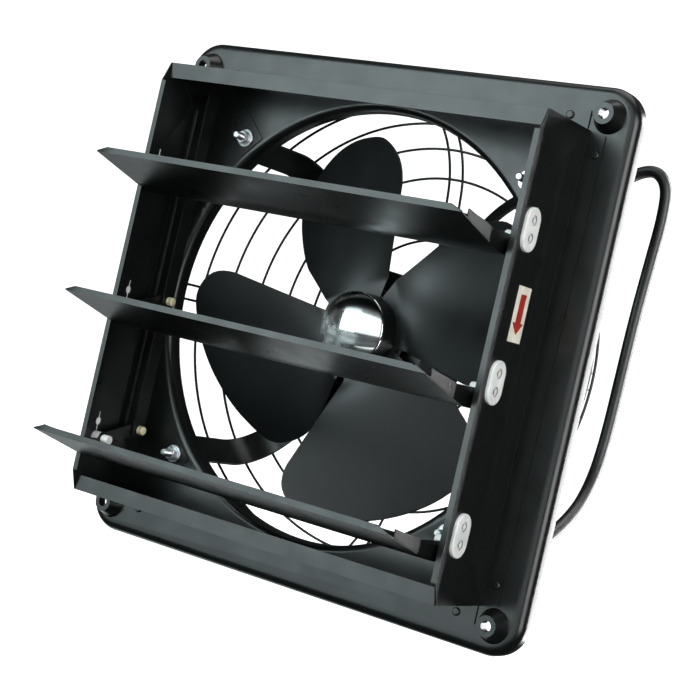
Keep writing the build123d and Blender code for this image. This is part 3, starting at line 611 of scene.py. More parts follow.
class FanSizes(bpy.types.PropertyGroup):
    """Sizes of the fan's dressed pieces"""

    wire: FloatProperty(
        name="Guard wire", description="Diameter of the guard's wire",
        default=1.8 * MM, unit="LENGTH"
    )
    blade_sheet: FloatProperty(
        name="Blade sheet", description="Thickness of a fan blade", default=1.2 * MM, unit="LENGTH"
    )
    louvre_sheet: FloatProperty(
        name="Louvre sheet", description="Thickness of a louvre", default=0.8 * MM, unit="LENGTH"
    )
    cord: FloatProperty(
        name="Cord", description="Diameter of the mains cord", default=7.6 * MM, unit="LENGTH"
    )
    thread_pitch: FloatProperty(
        name="Thread pitch", description="Pitch of the arm bolts' thread",
        default=0.8 * MM, unit="LENGTH"
    )
    ring_steps: IntProperty(
        name="Ring steps", description="Steps round a guard ring", default=160, min=32
    )


class StudioSettings(bpy.types.PropertyGroup):
    """Radiances of the studio lights, as shares of the white of the picture"""

    key: FloatProperty(
        name="Key", description="Brightness of the large front light", default=5.4, min=0.0
    )
    front: FloatProperty(
        name="Front", description="Brightness of the wide front wall", default=1.4, min=0.0
    )
    back: FloatProperty(
        name="Back", description="Brightness of the low light behind", default=1.5, min=0.0
    )
    fill: FloatProperty(
        name="Fill", description="Brightness of the light at the right", default=5.8, min=0.0
    )
    strip: FloatProperty(
        name="Strip", description="Brightness of the strip behind the edge", default=15.0, min=0.0
    )
    top: FloatProperty(
        name="Top", description="Brightness of the light above", default=2.0, min=0.0
    )
    room: FloatProperty(
        name="Room", description="Brightness of the unlit room", default=0.06, min=0.0
    )


# ---------------------------------------------------------------- cord and its gland

# Control points of the cord's centre line, from the gland to its bare end, in metres.
CORD_ROUTE = (
    (0.02365, 0.0978, 0.06162),
    (0.0290, 0.0978, 0.0754),
    (0.0430, 0.0955, 0.0950),
    (0.0660, 0.0885, 0.1100),
    (0.0980, 0.0855, 0.1135),
    (0.1260, 0.0850, 0.1225),
    (0.1495, 0.0850, 0.1385),
    (0.1622, 0.0865, 0.1310),
    (0.1635, 0.0885, 0.1100),
    (0.1610, 0.0905, 0.0800),
    (0.1585, 0.0925, 0.0460),
    (0.1585, 0.0915, 0.0060),
    (0.1592, 0.0890, -0.0330),
    (0.1610, 0.0790, -0.0610),
    (0.1630, 0.0575, -0.0835),
    (0.1606, 0.0345, -0.0975),
)
# The gland's bearing about the fan's axis, and its nut in millimetres: distances from that axis,
# the radius to which each is chamfered and half its flats. Then its cone: where it starts and
# stops, its radius at both ends, and its ribs.
GLAND_DEG = 69.0
GLAND_NUT_REACH = (41.2, 41.2, 42.0, 43.5, 45.4, 46.0, 46.0)
GLAND_NUT_ENDS = (4.0, 6.2, 6.2, 6.2, 6.2, 5.7, 4.4)
GLAND_HALF_FLATS = 5.5
GLAND_CONE = (46.0, 66.0)
GLAND_CONE_R = (5.2, 3.85)
RIB_HALF_PITCH = 1.5
RIB_DEPTH = 0.35
GLAND_STEPS = 72


class FAN_OT_cord(bpy.types.Operator):
    """Lay the mains cord on its route and fit its gland and bare leads"""

    bl_idname = "fan.cord"
    bl_label = "Mains cord"

    def execute(self, context):
        width = context.scene.fan_sizes.cord
        curve = bpy.data.curves.new("mains_cord_sheath", "CURVE")
        curve.dimensions = "3D"
        curve.bevel_depth = width / 2
        curve.bevel_resolution = 5
        curve.resolution_u = 12
        curve.use_fill_caps = True
        spline = curve.splines.new("NURBS")
        spline.points.add(len(CORD_ROUTE) - 1)
        route = np.ones((len(CORD_ROUTE), 4))
        route[:, :3] = CORD_ROUTE
        spline.points.foreach_set("co", route.ravel())
        spline.order_u = 3
        spline.use_endpoint_u = True
        cord = bpy.data.objects.new("mains_cord_sheath", curve)
        context.scene.collection.objects.link(cord)
        curve.materials.append(finish_of("cord_rubber"))
        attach(cord, "frame")
        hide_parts("mains_cord")
        leads = softened_node("cord_leads", "cord_rubber", 0.2)
        self.fit_gland()
        return {"FINISHED"}

    def fit_gland(self):
        """The gland is turned about its own axis: a six-sided nut whose radius is the smaller
        of a hexagon and two end chamfers, then a ribbed cone that narrows to the cord."""
        angle = full_turn(GLAND_STEPS)[None, :]
        reach, ends = np.array([GLAND_NUT_REACH, GLAND_NUT_ENDS])[:, :, None] * MM
        nut = np.minimum(hexagon(angle, GLAND_HALF_FLATS * MM), ends)
        (start, stop), (thick, thin) = GLAND_CONE, GLAND_CONE_R
        along = np.linspace(start, stop, 92)[:, None] * MM
        from_nut = along - start * MM
        taper = (thick + (thin - thick) * from_nut / ((stop - start) * MM)) * MM
        is_groove = np.cos(from_nut / (RIB_HALF_PITCH * MM) * np.pi) > 0.2
        ribs = np.repeat(taper - RIB_DEPTH * MM * is_groove, GLAND_STEPS, axis=1)
        radius = np.concatenate([nut, ribs])
        x = np.repeat(np.concatenate([reach, along]), GLAND_STEPS, axis=1)
        shape = np.stack([x, radius * np.cos(angle), radius * np.sin(angle)], axis=-1)
        centre = shape[[0, -1]].mean(axis=1, keepdims=True).repeat(GLAND_STEPS, axis=1)
        shape = np.concatenate([centre[:1], shape, centre[1:]])
        shape = moved(turn_about_y(shape, GLAND_DEG), y=CORD_ROUTE[0][1])
        surface_piece("cord_gland", [(shape, False, True)], "frame", "gland_plastic", 40.0)


# ---------------------------------------------------------------- sheet metal

# The width in millimetres to which the folds of each group of pieces are rounded.
SHEET_METAL = (
    (0.25, ("main_panel", "shutter_top_rail", "shutter_bottom_rail", "shutter_left_side",
            "shutter_right_side")),
    (0.2, ("shutter_rivets",)),
    (0.25, ("tie_bar", "guard_clips")),
    (0.3, ("motor_arm_1", "motor_arm_2", "motor_arm_3", "motor_arm_4")),
    (0.8, ("motor_front_shell", "motor_rear_shell")),
)


class FAN_OT_sheet_metal(bpy.types.Operator):
    """Round the folds of the pressed panel, the shutter box, the arms and the motor's case"""

    bl_idname = "fan.sheet_metal"
    bl_label = "Sheet metal"

    def execute(self, context):
        for width, nodes in SHEET_METAL:
            for node in nodes:
                softened_node(node, "black_paint", width)
        return {"FINISHED"}


# ---------------------------------------------------------------- louvres

# The louvre in millimetres from its pivot: half its length, four points of its section as Y and
# Z, its hem's height, how much shorter each end of the hem is at its top, the rows of points
# below its lip and above its fold, and the rise over the front from which its ends slope.
LOUVRE_HALF = 134.2
LOUVRE_FRONT = (-65.0, 1.6)
LOUVRE_BEND = (-28.0, -8.6)
LOUVRE_BELLY = (-8.0, -12.2)
LOUVRE_BACK = (23.5, -7.0)
LOUVRE_HEM = 3.7
HEM_TAPER = 9.0
HEM_LIP = 0.8
HEM_FOLD = 0.6
HEM_START = 1.6

# The end tab's top line as Y and Z, and the radius of its boss about the pivot.
TAB_TOP = (
    (-57.0, 5.0), (-48.0, 3.4), (-39.0, 2.2), (-28.7, 0.2), (-16.6, -2.0), (-8.5, -2.4),
    (0.0, 0.0), (4.6, 0.0), (23.4, -3.5),
)
TAB_BOSS = 4.6

# The link arm's pin, from the pivot, and the arm's half width at both ends.
LINK_PIN = (31.0, 9.0)
ARM_HALF_WIDTHS = (4.0, 4.6)

# The cream clip's lobes, neck, shank and head, in millimetres.
CLIP_LOBE_R = 2.95
CLIP_NECK_R = 1.9
CLIP_SHANK_R = 2.0
CLIP_HEAD = 5.0


def louvre_line(count):
    """The louvre's section: a straight front part, then the arc through bend, belly and back."""
    front = np.linspace(LOUVRE_FRONT, LOUVRE_BEND, count)
    return np.concatenate([front[:-1], arc_through(LOUVRE_BEND, LOUVRE_BELLY, LOUVRE_BACK, count)])


def louvre_surfaces(sheet):
    """The louvre's skin: its section, a straight run and an arc, with a hem that stands up from
    the front edge, carried along X. Where the section is part of the hem, its half length
    falls off with height, so that the hem's ends slope inwards."""
    arc = louvre_line(24) * MM
    upper = arc + np.array([0.0, sheet])
    hem_top = (LOUVRE_FRONT[1] + LOUVRE_HEM) * MM
    front = LOUVRE_FRONT[0] * MM
    inside, lip = front + sheet, hem_top - HEM_LIP * MM
    hem_in = np.array([[inside, hem_top], [inside, lip], [inside, upper[1, 1] + HEM_FOLD * MM]])
    hem_out = np.array([[front, hem_top], [front, lip]])
    loop = np.concatenate([hem_out, arc, upper[:0:-1], hem_in[::-1]])
    half = np.full(len(loop), LOUVRE_HALF * MM)
    sloping = (LOUVRE_FRONT[1] + HEM_START) * MM
    is_hem = (loop[:, 1] > sloping) & (loop[:, 0] < front + 2 * sheet)
    rise = loop[is_hem, 1] / MM - LOUVRE_FRONT[1]
    half[is_hem] -= HEM_TAPER * MM * rise / LOUVRE_HEM
    x = np.linspace(-1, 1, 25)[:, None] * half
    y, z = (np.repeat(loop[None, :, k], len(x), axis=0) for k in (0, 1))
    skin = np.stack([x, y, z], axis=-1)
    high_side = np.concatenate([hem_in[:1], hem_in[:1], upper])
    count = len(hem_out) + len(arc)
    steps = np.arange(len(high_side))
    high = [np.interp(np.arange(count), steps, high_side[:, k]) for k in (0, 1)]
    surfaces = [(skin, False, True)]
    for side, row in ((-1, 0), (1, -1)):
        x_end = np.full(count, side * LOUVRE_HALF * MM)
        x_end[:2] = side * half[:2]
        end = np.stack([skin[row, :count], np.stack([x_end, *high], axis=-1)])
        surfaces.append((end, False, False))
    return surfaces


def tab_surfaces(side, sheet):
    """An end tab: between the skin below and a top line that is the higher of a falling edge
    and the round boss about the pivot, as a grid along Y and up Z, with both faces."""
    y = np.linspace(TAB_TOP[0][0], TAB_TOP[-1][0], 96)
    line = louvre_line(60)
    low = np.interp(y, line[:, 0], line[:, 1]) + 0.4
    top = np.interp(y, *np.transpose(TAB_TOP))
    boss = np.sqrt(np.maximum(TAB_BOSS**2 - y**2, 0.0))
    top = np.maximum(np.maximum(top, boss), low + 0.1)
    up = np.linspace(0, 1, 8)[:, None]
    z = low * (1 - up) + top * up
    x = np.full_like(z, side * LOUVRE_HALF)
    face = np.stack([x, np.repeat(y[None, :], len(up), axis=0), z], axis=-1) * MM
    return plate(face, -side * sheet, True)


def link_arm_surfaces(sheet):
    """The arm from the pivot to the tie bar's pin: a strip with round ends, whose half width
    eases from the first to the second of ARM_HALF_WIDTHS along its length."""
    reach, lean = math.hypot(*LINK_PIN), math.atan2(LINK_PIN[1], LINK_PIN[0])
    near, far = ARM_HALF_WIDTHS
    quarter = np.linspace(0, np.pi / 2, 9)
    along = np.concatenate(
        [-near * np.cos(quarter), np.linspace(1, reach - 1, 12), reach + far * np.sin(quarter)]
    )
    half = np.concatenate(
        [near * np.sin(quarter), np.linspace(near, far, 12), far * np.cos(quarter)]
    )
    across = np.linspace(-1, 1, 7)[:, None]
    y = along * math.cos(lean) - across * half * math.sin(lean)
    z = along * math.sin(lean) + across * half * math.cos(lean)
    face = np.stack([np.full_like(y, -LOUVRE_HALF), y, z], axis=-1) * MM
    return plate(face, sheet, False)


def clip_surfaces(centre, x0, x1):
    """A clip head turned about X: two rounded lobes one behind the other. The radius is the
    larger of a thin neck and lobe radius * sqrt(1 - (d / reach)^4), where d is the distance to
    the middle of a lobe and reach is a little over a quarter of the head."""
    x = np.linspace(x0, x1, 40)
    lobe = (x1 - x0) / 4
    radius = np.full(x.shape, CLIP_NECK_R * MM)
    for middle in (x0 + lobe, x1 - lobe):
        fall = (np.abs(x - middle) / (lobe * 1.06)) ** 4
        radius = np.maximum(radius, CLIP_LOBE_R * MM * np.sqrt(np.clip(1 - fall, 0, None)))
    radius[[0, -1]] = 0.0
    x[1], x[-2] = x0, x1
    return turned_about_x(x, radius, centre, 40)


def pin_surfaces(x0, x1, radius, centre):
    """A plain round pin along X with slightly rounded ends."""
    edge = 0.2 * MM
    lengths = np.array([x0, x0, x0 + edge, x1 - edge, x1, x1])
    radii = np.array([0.0, radius - edge, radius, radius, radius - edge, 0.0])
    return turned_about_x(lengths, radii, centre, 32)


class FAN_OT_louvres(bpy.types.Operator):
    """Make the three curved louvres with their end tabs, pins and cream clips"""

    bl_idname = "fan.louvres"
    bl_label = "Louvres"

    def execute(self, context):
        sheet = context.scene.fan_sizes.louvre_sheet
        for number in (1, 2, 3):
            joint = JOINTS[f"louvre_{number}_swing"]
            _, y, z = joint["pos_m"]
            body = joint["child"]
            surfaces = louvre_surfaces(sheet) + tab_surfaces(1, sheet) + tab_surfaces(-1, sheet)
            surfaces += link_arm_surfaces(sheet)
            surfaces = [(moved(grid, y=y, z=z), a, b) for grid, a, b in surfaces]
            name = f"louvre_{number}"
            mesh, node = mesh_of(name, surfaces), name + "_blade"
            piece = place_piece(name + "_finished", mesh, body, "black_paint", node, 30.0)
            round_folds(piece, 0.15, 50.0)
            softened_node(name + "_pivot_pins", "white_plastic", 0.7)
            self.make_clip(name + "_link_pin", body)
        return {"FINISHED"}

    def make_clip(self, node, body):
        """A clip's two-lobed head, and the shank that ends halfway into it."""
        low, high = BOX_LOW[node], BOX_HIGH[node]
        centre = ((low.y + high.y) / 2, (low.z + high.z) / 2)
        head = clip_surfaces(centre, high.x - CLIP_HEAD * MM, high.x)
        shank = pin_surfaces(low.x, high.x - CLIP_HEAD / 2 * MM, CLIP_SHANK_R * MM, centre)
        surface_piece(node, head + shank, body, "cream_plastic", 40.0)


# ---------------------------------------------------------------- pads and label


class FAN_OT_pads(bpy.types.Operator):
    """Finish the white pivot pads and the direction label"""

    bl_idname = "fan.pads"
    bl_label = "Pads and label"

    def execute(self, context):
        softened_node("pivot_bearings_left", "white_plastic", 0.3)
        softened_node("pivot_bearings_right", "white_plastic", 0.3)
        softened_node("direction_label", "label_ivory", 0.08)
        arrow = frame["nodes"]["direction_arrow"].data
        arrow.materials.clear()
        arrow.materials.append(finish_of("arrow_red"))
        return {"FINISHED"}


# ---------------------------------------------------------------- fan

# The fan in millimetres: its radius and the depth of its blades' middle. A blade's middle line,
# its root's two edges and its rim are given by angles, and rim points also by their share of the
# radius. The twist and camber are those of blade_surfaces.
FAN_R = 124.0
HUB_Y = 40.425
BLADE_MID_DEG = 116.0
BLADE_TWIST = 0.7
BLADE_CAMBER = 2.0
BLADE_FLAT_R = 29.0
BLADE_LENGTH = 80.0
BLADE_ROOT_DEG = (76.0, 163.0)
BLADE_RIM = np.array([
    (0.776, 78.6), (0.886, 81.1), (0.981, 89.7), (0.996, 99.2), (0.993, 115.7),
    (0.961, 130.0), (0.899, 142.1), (0.765, 148.7), (0.589, 154.2),
])

# The drum in millimetres: radii of its wall, flange, sleeve and bore, its depths, and its sheet.
DRUM_R = 24.0
FLANGE_R = 29.0
SLEEVE_R = 8.0
BORE_R = 4.0
DRUM_FRONT = 23.0
DRUM_BACK = 43.5
DRUM_FLOOR = 2.5
CAP_RISE = 7.0


def smooth_through(points, count):
    """A smooth line through points: cubic pieces whose slope at a point is taken from its two
    neighbours, with the distance between points as the parameter."""
    steps = np.r_[0, np.cumsum(np.linalg.norm(np.diff(points, axis=0), axis=1))]
    slope = np.gradient(points, steps, axis=0, edge_order=2)
    at = np.linspace(0, steps[-1], count)
    i = np.clip(np.searchsorted(steps, at, side="right") - 1, 0, len(points) - 2)
    span = (steps[i + 1] - steps[i])[:, None]
    u = (at - steps[i])[:, None] / span
    return ((2 * u**3 - 3 * u**2 + 1) * points[i] + (u**3 - 2 * u**2 + u) * span * slope[i]
            + (3 * u**2 - 2 * u**3) * points[i + 1] + (u**3 - u**2) * span * slope[i + 1])


def edge_steps(count):
    """Steps from 0 to 1 that crowd towards both ends, for rounded edges."""
    fine = np.array([0.0, 0.0015, 0.004, 0.008])
    return np.r_[fine, np.linspace(0.02, 0.98, count), 1 - fine[::-1]]


def blade_surfaces(sheet, degrees):
    """A fan blade: a ruled face from the root arc on the drum to the curved rim, lifted in depth
    by side * twist * (1 - flat / reach) less a parabolic camber, where reach and side are
    measured along and across the blade's middle line. Front and back meet at a rounded edge,
    because the half thickness falls off as a quarter circle near every edge."""
    across, along = edge_steps(44), edge_steps(36)
    angle, share = np.radians(BLADE_RIM[:, 1]), BLADE_RIM[:, 0] * FAN_R
    rim = smooth_through(np.stack([share * np.cos(angle), share * np.sin(angle)], axis=-1), 400)
    rim = np.stack([np.interp(across, np.linspace(0, 1, 400), rim[:, k]) for k in (0, 1)], axis=-1)
    root_angle = np.radians(BLADE_ROOT_DEG[0] + (BLADE_ROOT_DEG[1] - BLADE_ROOT_DEG[0]) * across)
    root = (DRUM_R - 0.6) * np.stack([np.cos(root_angle), np.sin(root_angle)], axis=-1)
    v = along[:, None, None]
    flat = root[None] * (1 - v) + rim[None] * v
    middle = math.radians(BLADE_MID_DEG)
    reach = flat[..., 0] * math.cos(middle) + flat[..., 1] * math.sin(middle)
    side = -flat[..., 0] * math.sin(middle) + flat[..., 1] * math.cos(middle)
    slope = BLADE_TWIST * np.maximum(1 - BLADE_FLAT_R / np.maximum(reach, BLADE_FLAT_R), 0.0)
    depth = HUB_Y + side * slope - BLADE_CAMBER * (1 - (side / FAN_R) ** 2)
    width = np.linalg.norm(rim[-1] - rim[0])
    to_side = np.minimum(across, 1 - across)[None, :] * width
    to_edge = np.minimum(to_side, (1 - along)[:, None] * BLADE_LENGTH)
    half = sheet / MM / 2
    fall = np.clip(to_edge / half, 0, 1)
    half_here = half * np.sqrt(1 - (1 - fall) ** 2)
    faces = []
    for way in (-1, 1):
        grid = np.stack([flat[..., 0], depth + way * half_here, flat[..., 1]], axis=-1) * MM
        faces.append((turn_about_y(grid, degrees), False, False))
    root_strip = np.stack([faces[0][0][0], faces[1][0][0]])
    return faces + [(root_strip, False, False)]


class FAN_OT_fan(bpy.types.Operator):
    """Make the four blades, the drum that carries them and its chrome cap"""

    bl_idname = "fan.fan"
    bl_label = "Fan"

    def execute(self, context):
        sheet = context.scene.fan_sizes.blade_sheet
        for number in range(4):
            surfaces = blade_surfaces(sheet, 90.0 * number)
            surface_piece(f"fan_blade_{number + 1}", surfaces, "rotor", "fan_paint", 50.0)
        self.make_drum()
        self.make_cap()
        inner = {"shaft_nut": "zinc", "rotor_shaft": "turned_steel", "rotor_core": "core_steel"}
        for node, slot in inner.items():
            softened_node(node, slot, 0.3)
        return {"FINISHED"}

    def make_drum(self):
        """The drum's section, turned: a rounded front lip, a straight wall, a curved foot and a
        flat ring flange, with the hub's sleeve inside."""
        floor = DRUM_BACK - DRUM_FLOOR
        foot_y, edge_y, sleeve_y = floor - 2.0, floor + 0.6, DRUM_FRONT + 5.0
        section = np.concatenate([
            arc_points((DRUM_R - 1.0, DRUM_FRONT + 1.0), 1.0, 180, 360, 9),
            [(DRUM_R, DRUM_FRONT + 1.0), (DRUM_R, foot_y)],
            arc_points((DRUM_R + 2.0, foot_y), 2.0, 180, 90, 7),
            arc_points((FLANGE_R - 0.6, edge_y), 0.6, -90, 0, 5),
            [(FLANGE_R, DRUM_BACK - 0.6), (FLANGE_R - 0.6, DRUM_BACK), (BORE_R, DRUM_BACK)],
            [(BORE_R, sleeve_y), (SLEEVE_R, sleeve_y), (SLEEVE_R, floor), (DRUM_R - 2.0, floor)],
        ]) * MM
        surface_piece("hub_drum", [(turned(section, 96), True, True)], "rotor", "drum_steel", 32.0)

    def make_cap(self):
        """The cap's section, turned: a shallow dome out to a tight fold and a short skirt, with
        the inner face a millimetre behind. The dome is part of a sphere that rises by CAP_RISE
        from the drum's radius."""
        front = BOX_LOW["hub_cap"].y / MM
        dome_r = (DRUM_R**2 + CAP_RISE**2) / (2 * CAP_RISE)
        radius = np.linspace(0, 23.2, 44)
        crown = front + dome_r - np.sqrt(dome_r**2 - radius**2)
        rim = crown[-1]
        section = np.concatenate([
            np.stack([radius, crown], axis=-1),
            [(23.55, rim + 0.28), (23.85, rim + 0.62), (DRUM_R, rim + 1.0)],
            [(DRUM_R, DRUM_FRONT - 0.3), (DRUM_R - 0.3, DRUM_FRONT), (21.4, DRUM_FRONT)],
            np.stack([radius[:38][::-1], crown[:38][::-1] + 1.0], axis=-1),
        ]) * MM
        dome = [(turned(section, 128), False, True)]
        surface_piece("hub_cap", dome, "rotor", "cap_chrome", 50.0)


# ---------------------------------------------------------------- fasteners and motor


def hex_bar(y0, y1, across_flats, bore, centre):
    """A chamfered hexagon along Y: its radius is the smaller of the hexagon's and a cone's at
    each end, and it closes on a round bore or on its own axis."""
    angle = full_turn(72)[None, :]
    near, far = 0.35 * MM, 1.05 * MM
    y = np.array([y0, y0, y0 + near, y0 + far, y1 - far, y1 - near, y1, y1])[:, None]
    y = np.repeat(y, 72, axis=1)
    cone = across_flats / 2 * 0.97 + np.array([0, 0, 0.6, 1.8, 1.8, 0.6, 0, 0])[:, None] * MM
    radius = np.minimum(hexagon(angle, across_flats / 2), cone)
    radius[[0, -1]] = bore
    x = centre[0] + radius * np.cos(angle)
    z = centre[1] + radius * np.sin(angle)
    return (np.stack([x, y, z], axis=-1), bore > 0, True)


def threaded_rod(y0, y1, radius, pitch, centre):
    """A threaded rod along Y: r = radius - depth * tri(y / pitch + angle / full turn), where tri
    is a triangle wave and depth is 0.54 of the pitch, and both ends taper to a flat."""
    angle = full_turn(24)[None, :]
    y = np.linspace(y0, y1, int((y1 - y0) / pitch * 6))[:, None]
    phase = (y / pitch + angle / (2 * np.pi)) % 1.0
    depth = 0.54 * pitch * (1 - np.abs(2 * phase - 1))
    taper = np.clip(0.6 * MM - np.minimum(y - y0, y1 - y), 0, None)
    r = radius - depth - taper
    x = centre[0] + r * np.cos(angle)
    z = centre[1] + r * np.sin(angle)
    rod = np.stack([x, np.repeat(y, 24, axis=1), z], axis=-1)
    first, last = (np.full((1, 24, 3), (centre[0], end, centre[1])) for end in (y0, y1))
    return (np.concatenate([first, rod, last]), False, True)


# The arm bolts' radius and their heads' and nuts' width across flats, the washers' outer radius,
# and a washer's section as radius and depth, in millimetres.
BOLT_R = 2.5
HEX_FLATS = 7.9
WASHER_R = 6.0
WASHER_SECTION = (
    (2.6, 0.15), (2.75, 0.0), (5.8, 0.0), (WASHER_R, 0.2), (WASHER_R, 0.8), (5.8, 1.0),
    (2.75, 1.0), (2.6, 0.85),
)


def corners(offset):
    """The four points at an offset along X and Z, either way."""
    return [(sx * offset, sz * offset) for sx in (-1, 1) for sz in (-1, 1)]


class FAN_OT_fasteners(bpy.types.Operator):
    """Make the arm bolts with real threads, their nuts, washers and the motor's screws"""

    bl_idname = "fan.fasteners"
    bl_label = "Fasteners"

    def execute(self, context):
        pitch = context.scene.fan_sizes.thread_pitch
        offset = 0.5 * (BOX_HIGH["arm_washers"].x - BOX_LOW["arm_washers"].x) - WASHER_R * MM
        low, high = BOX_LOW["arm_bolts"].y, BOX_HIGH["arm_bolts"].y
        nut_low, nut_high = BOX_LOW["arm_nuts"].y, BOX_HIGH["arm_nuts"].y
        ring = np.array(WASHER_SECTION) * MM
        ring[:, 1] += BOX_LOW["arm_washers"].y
        flats = HEX_FLATS * MM
        bolts, nuts, washers = [], [], []
        for place in corners(offset):
            bolts.append(threaded_rod(low, high - 3.0 * MM, BOLT_R * MM, pitch, place))
            bolts.append(hex_bar(high - 3.2 * MM, high, flats, 0.0, place))
            nuts.append(hex_bar(nut_low, nut_high, flats, (BOLT_R + 0.05) * MM, place))
            washers.append((turned(ring, 48, place), True, True))
        for name, surfaces in (("arm_bolts", bolts), ("arm_nuts", nuts), ("arm_washers", washers)):
            surface_piece(name, surfaces, "frame", "zinc", 28.0)
        softened_node("motor_screws", "zinc", 0.4)
        return {"FINISHED"}


class FAN_OT_motor_inside(bpy.types.Operator):
    """Finish the pieces inside the motor"""

    bl_idname = "fan.motor_inside"
    bl_label = "Motor inside"

    def execute(self, context):
        inside = {
            "stator_core": "core_steel", "stator_windings": "copper",
            "front_bearing": "turned_steel", "rear_bearing": "turned_steel",
        }
        for node, slot in inside.items():
            softened_node(node, slot, 0.2)
        return {"FINISHED"}


# ---------------------------------------------------------------- guard

# The guard in millimetres: radii of its base, shoulder and crown, depths behind the panel, the
# radius of its shoulder bend, and half the gap between the wires of a pair. Rings stand at shares
# of the section's length.
GUARD_BASE_R, GUARD_SHOULDER_R, GUARD_CROWN_R = 160.0, 148.5, 40.0
GUARD_SHOULDER_DEPTH, GUARD_BACK_DEPTH, GUARD_BEND = 92.0, 106.0, 60.0
SIDE_RING_SHARES = (0.052, 0.101, 0.151)
BACK_RING_SHARES = (0.198, 0.245, 0.292, 0.339, 0.386, 0.433)
SPOKE_HALF_GAP = 5.2


def guard_section(offset_mm):
    """The guard's section in radius and depth: a long side, a shoulder bend and a flat crown,
    as straight runs joined by arcs, moved out by an offset."""
    panel = PANEL_Y / MM
    base_y = PANEL_BACK_Y / MM + 0.9
    shoulder = (GUARD_SHOULDER_R + offset_mm, panel + GUARD_SHOULDER_DEPTH + offset_mm)
    crown_y = panel + GUARD_BACK_DEPTH + offset_mm
    corners_mm = [
        (GUARD_BASE_R + offset_mm, base_y), shoulder, (GUARD_CROWN_R, crown_y),
        (-GUARD_CROWN_R, crown_y), (-shoulder[0], shoulder[1]),
        (-GUARD_BASE_R - offset_mm, base_y),
    ]
    bends = [GUARD_BEND, GUARD_BEND * 2, GUARD_BEND * 2, GUARD_BEND]
    return rounded_run(corners_mm, bends, 4.0) * MM


def at_share(line, share):
    """The point at a share of a line's length."""
    steps = np.r_[0, np.cumsum(np.linalg.norm(np.diff(line, axis=0), axis=1))]
    return np.array([np.interp(share * steps[-1], steps, column) for column in line.T])


def wire_ring(radius, depth, wire, count):
    """A round ring of wire about the fan's axis: a circle of the wire's radius carried round."""
    around = arc_points((radius, depth), wire / 2, 0, 360, 13)[:-1]
    return (turned(around, count), True, True)


def wire_spoke(offset_mm, sideways, wire, degrees):
    """A long wire along the guard's section, in a plane beside the axis."""
    line = guard_section(offset_mm)
    centres = np.stack([line[:, 0], line[:, 1], np.full(len(line), sideways)], axis=-1)
    way = np.gradient(centres, axis=0)
    way /= np.linalg.norm(way, axis=1, keepdims=True)
    ups = np.repeat([[0.0, 0.0, 1.0]], len(centres), axis=0)
    sides = np.cross(way, ups)
    return (turn_about_y(tube(centres, sides, ups, wire / 2, 12), degrees), False, True)


class FAN_OT_guard(bpy.types.Operator):
    """Make the wire guard's rings and its two pairs of long bent wires"""

    bl_idname = "fan.guard"
    bl_label = "Wire guard"

    def execute(self, context):
        wire = context.scene.fan_sizes.wire
        steps = context.scene.fan_sizes.ring_steps
        section = guard_section(0.0)
        rings = {"guard_base_ring": (0.0,), "guard_back_rings": BACK_RING_SHARES}
        for number, share in enumerate(SIDE_RING_SHARES):
            rings[f"guard_side_ring_{number + 1}"] = (share,)
        for node, shares in rings.items():
            surfaces = [wire_ring(*at_share(section, share), wire, steps) for share in shares]
            surface_piece(node, surfaces, "frame", "wire_paint", 60.0)
        spokes = []
        step = (wire - 0.1 * MM) / MM
        for sideways in (-SPOKE_HALF_GAP * MM, SPOKE_HALF_GAP * MM):
            spokes.append(wire_spoke(-step, sideways, wire, 0.0))
            spokes.append(wire_spoke(step, sideways, wire, 90.0))
        surface_piece("guard_spokes", spokes, "frame", "wire_paint", 60.0)
        return {"FINISHED"}


# ---------------------------------------------------------------- stage

# The photograph's camera: its place, its axes and its focal length in millimetres.
CAMERA_PLACE = (0.592760, -0.861914, -0.011706)
CAMERA_RIGHT = (0.810379, 0.541593, 0.223525)
CAMERA_DOWN = (0.187191, 0.122183, -0.974695)
CAMERA_FORWARD = (-0.555199, 0.831714, -0.002366)
CAMERA_LENS = 85.36


def add_light(name, place, target, width, height, radiance, tint="#FFFFFF"):
    """A soft rectangular light at a place, turned to face a target. A flat lamp of area A that
    sends radiance L from its front gives pi * A * L watts."""
    light = bpy.data.lights.new(name, "AREA")
    light.shape = "RECTANGLE"
    light.size = width
    light.size_y = height
    light.energy = math.pi * width * height * radiance
    light.color = linear(tint)[:3]
    lamp = bpy.data.objects.new(name, light)
    bpy.context.scene.collection.objects.link(lamp)
    aim = (Vector(target) - Vector(place)).to_track_quat("-Z", "Y")
    lamp.matrix_world = Matrix.Translation(Vector(place)) @ aim.to_matrix().to_4x4()
    lamp.visible_camera = False


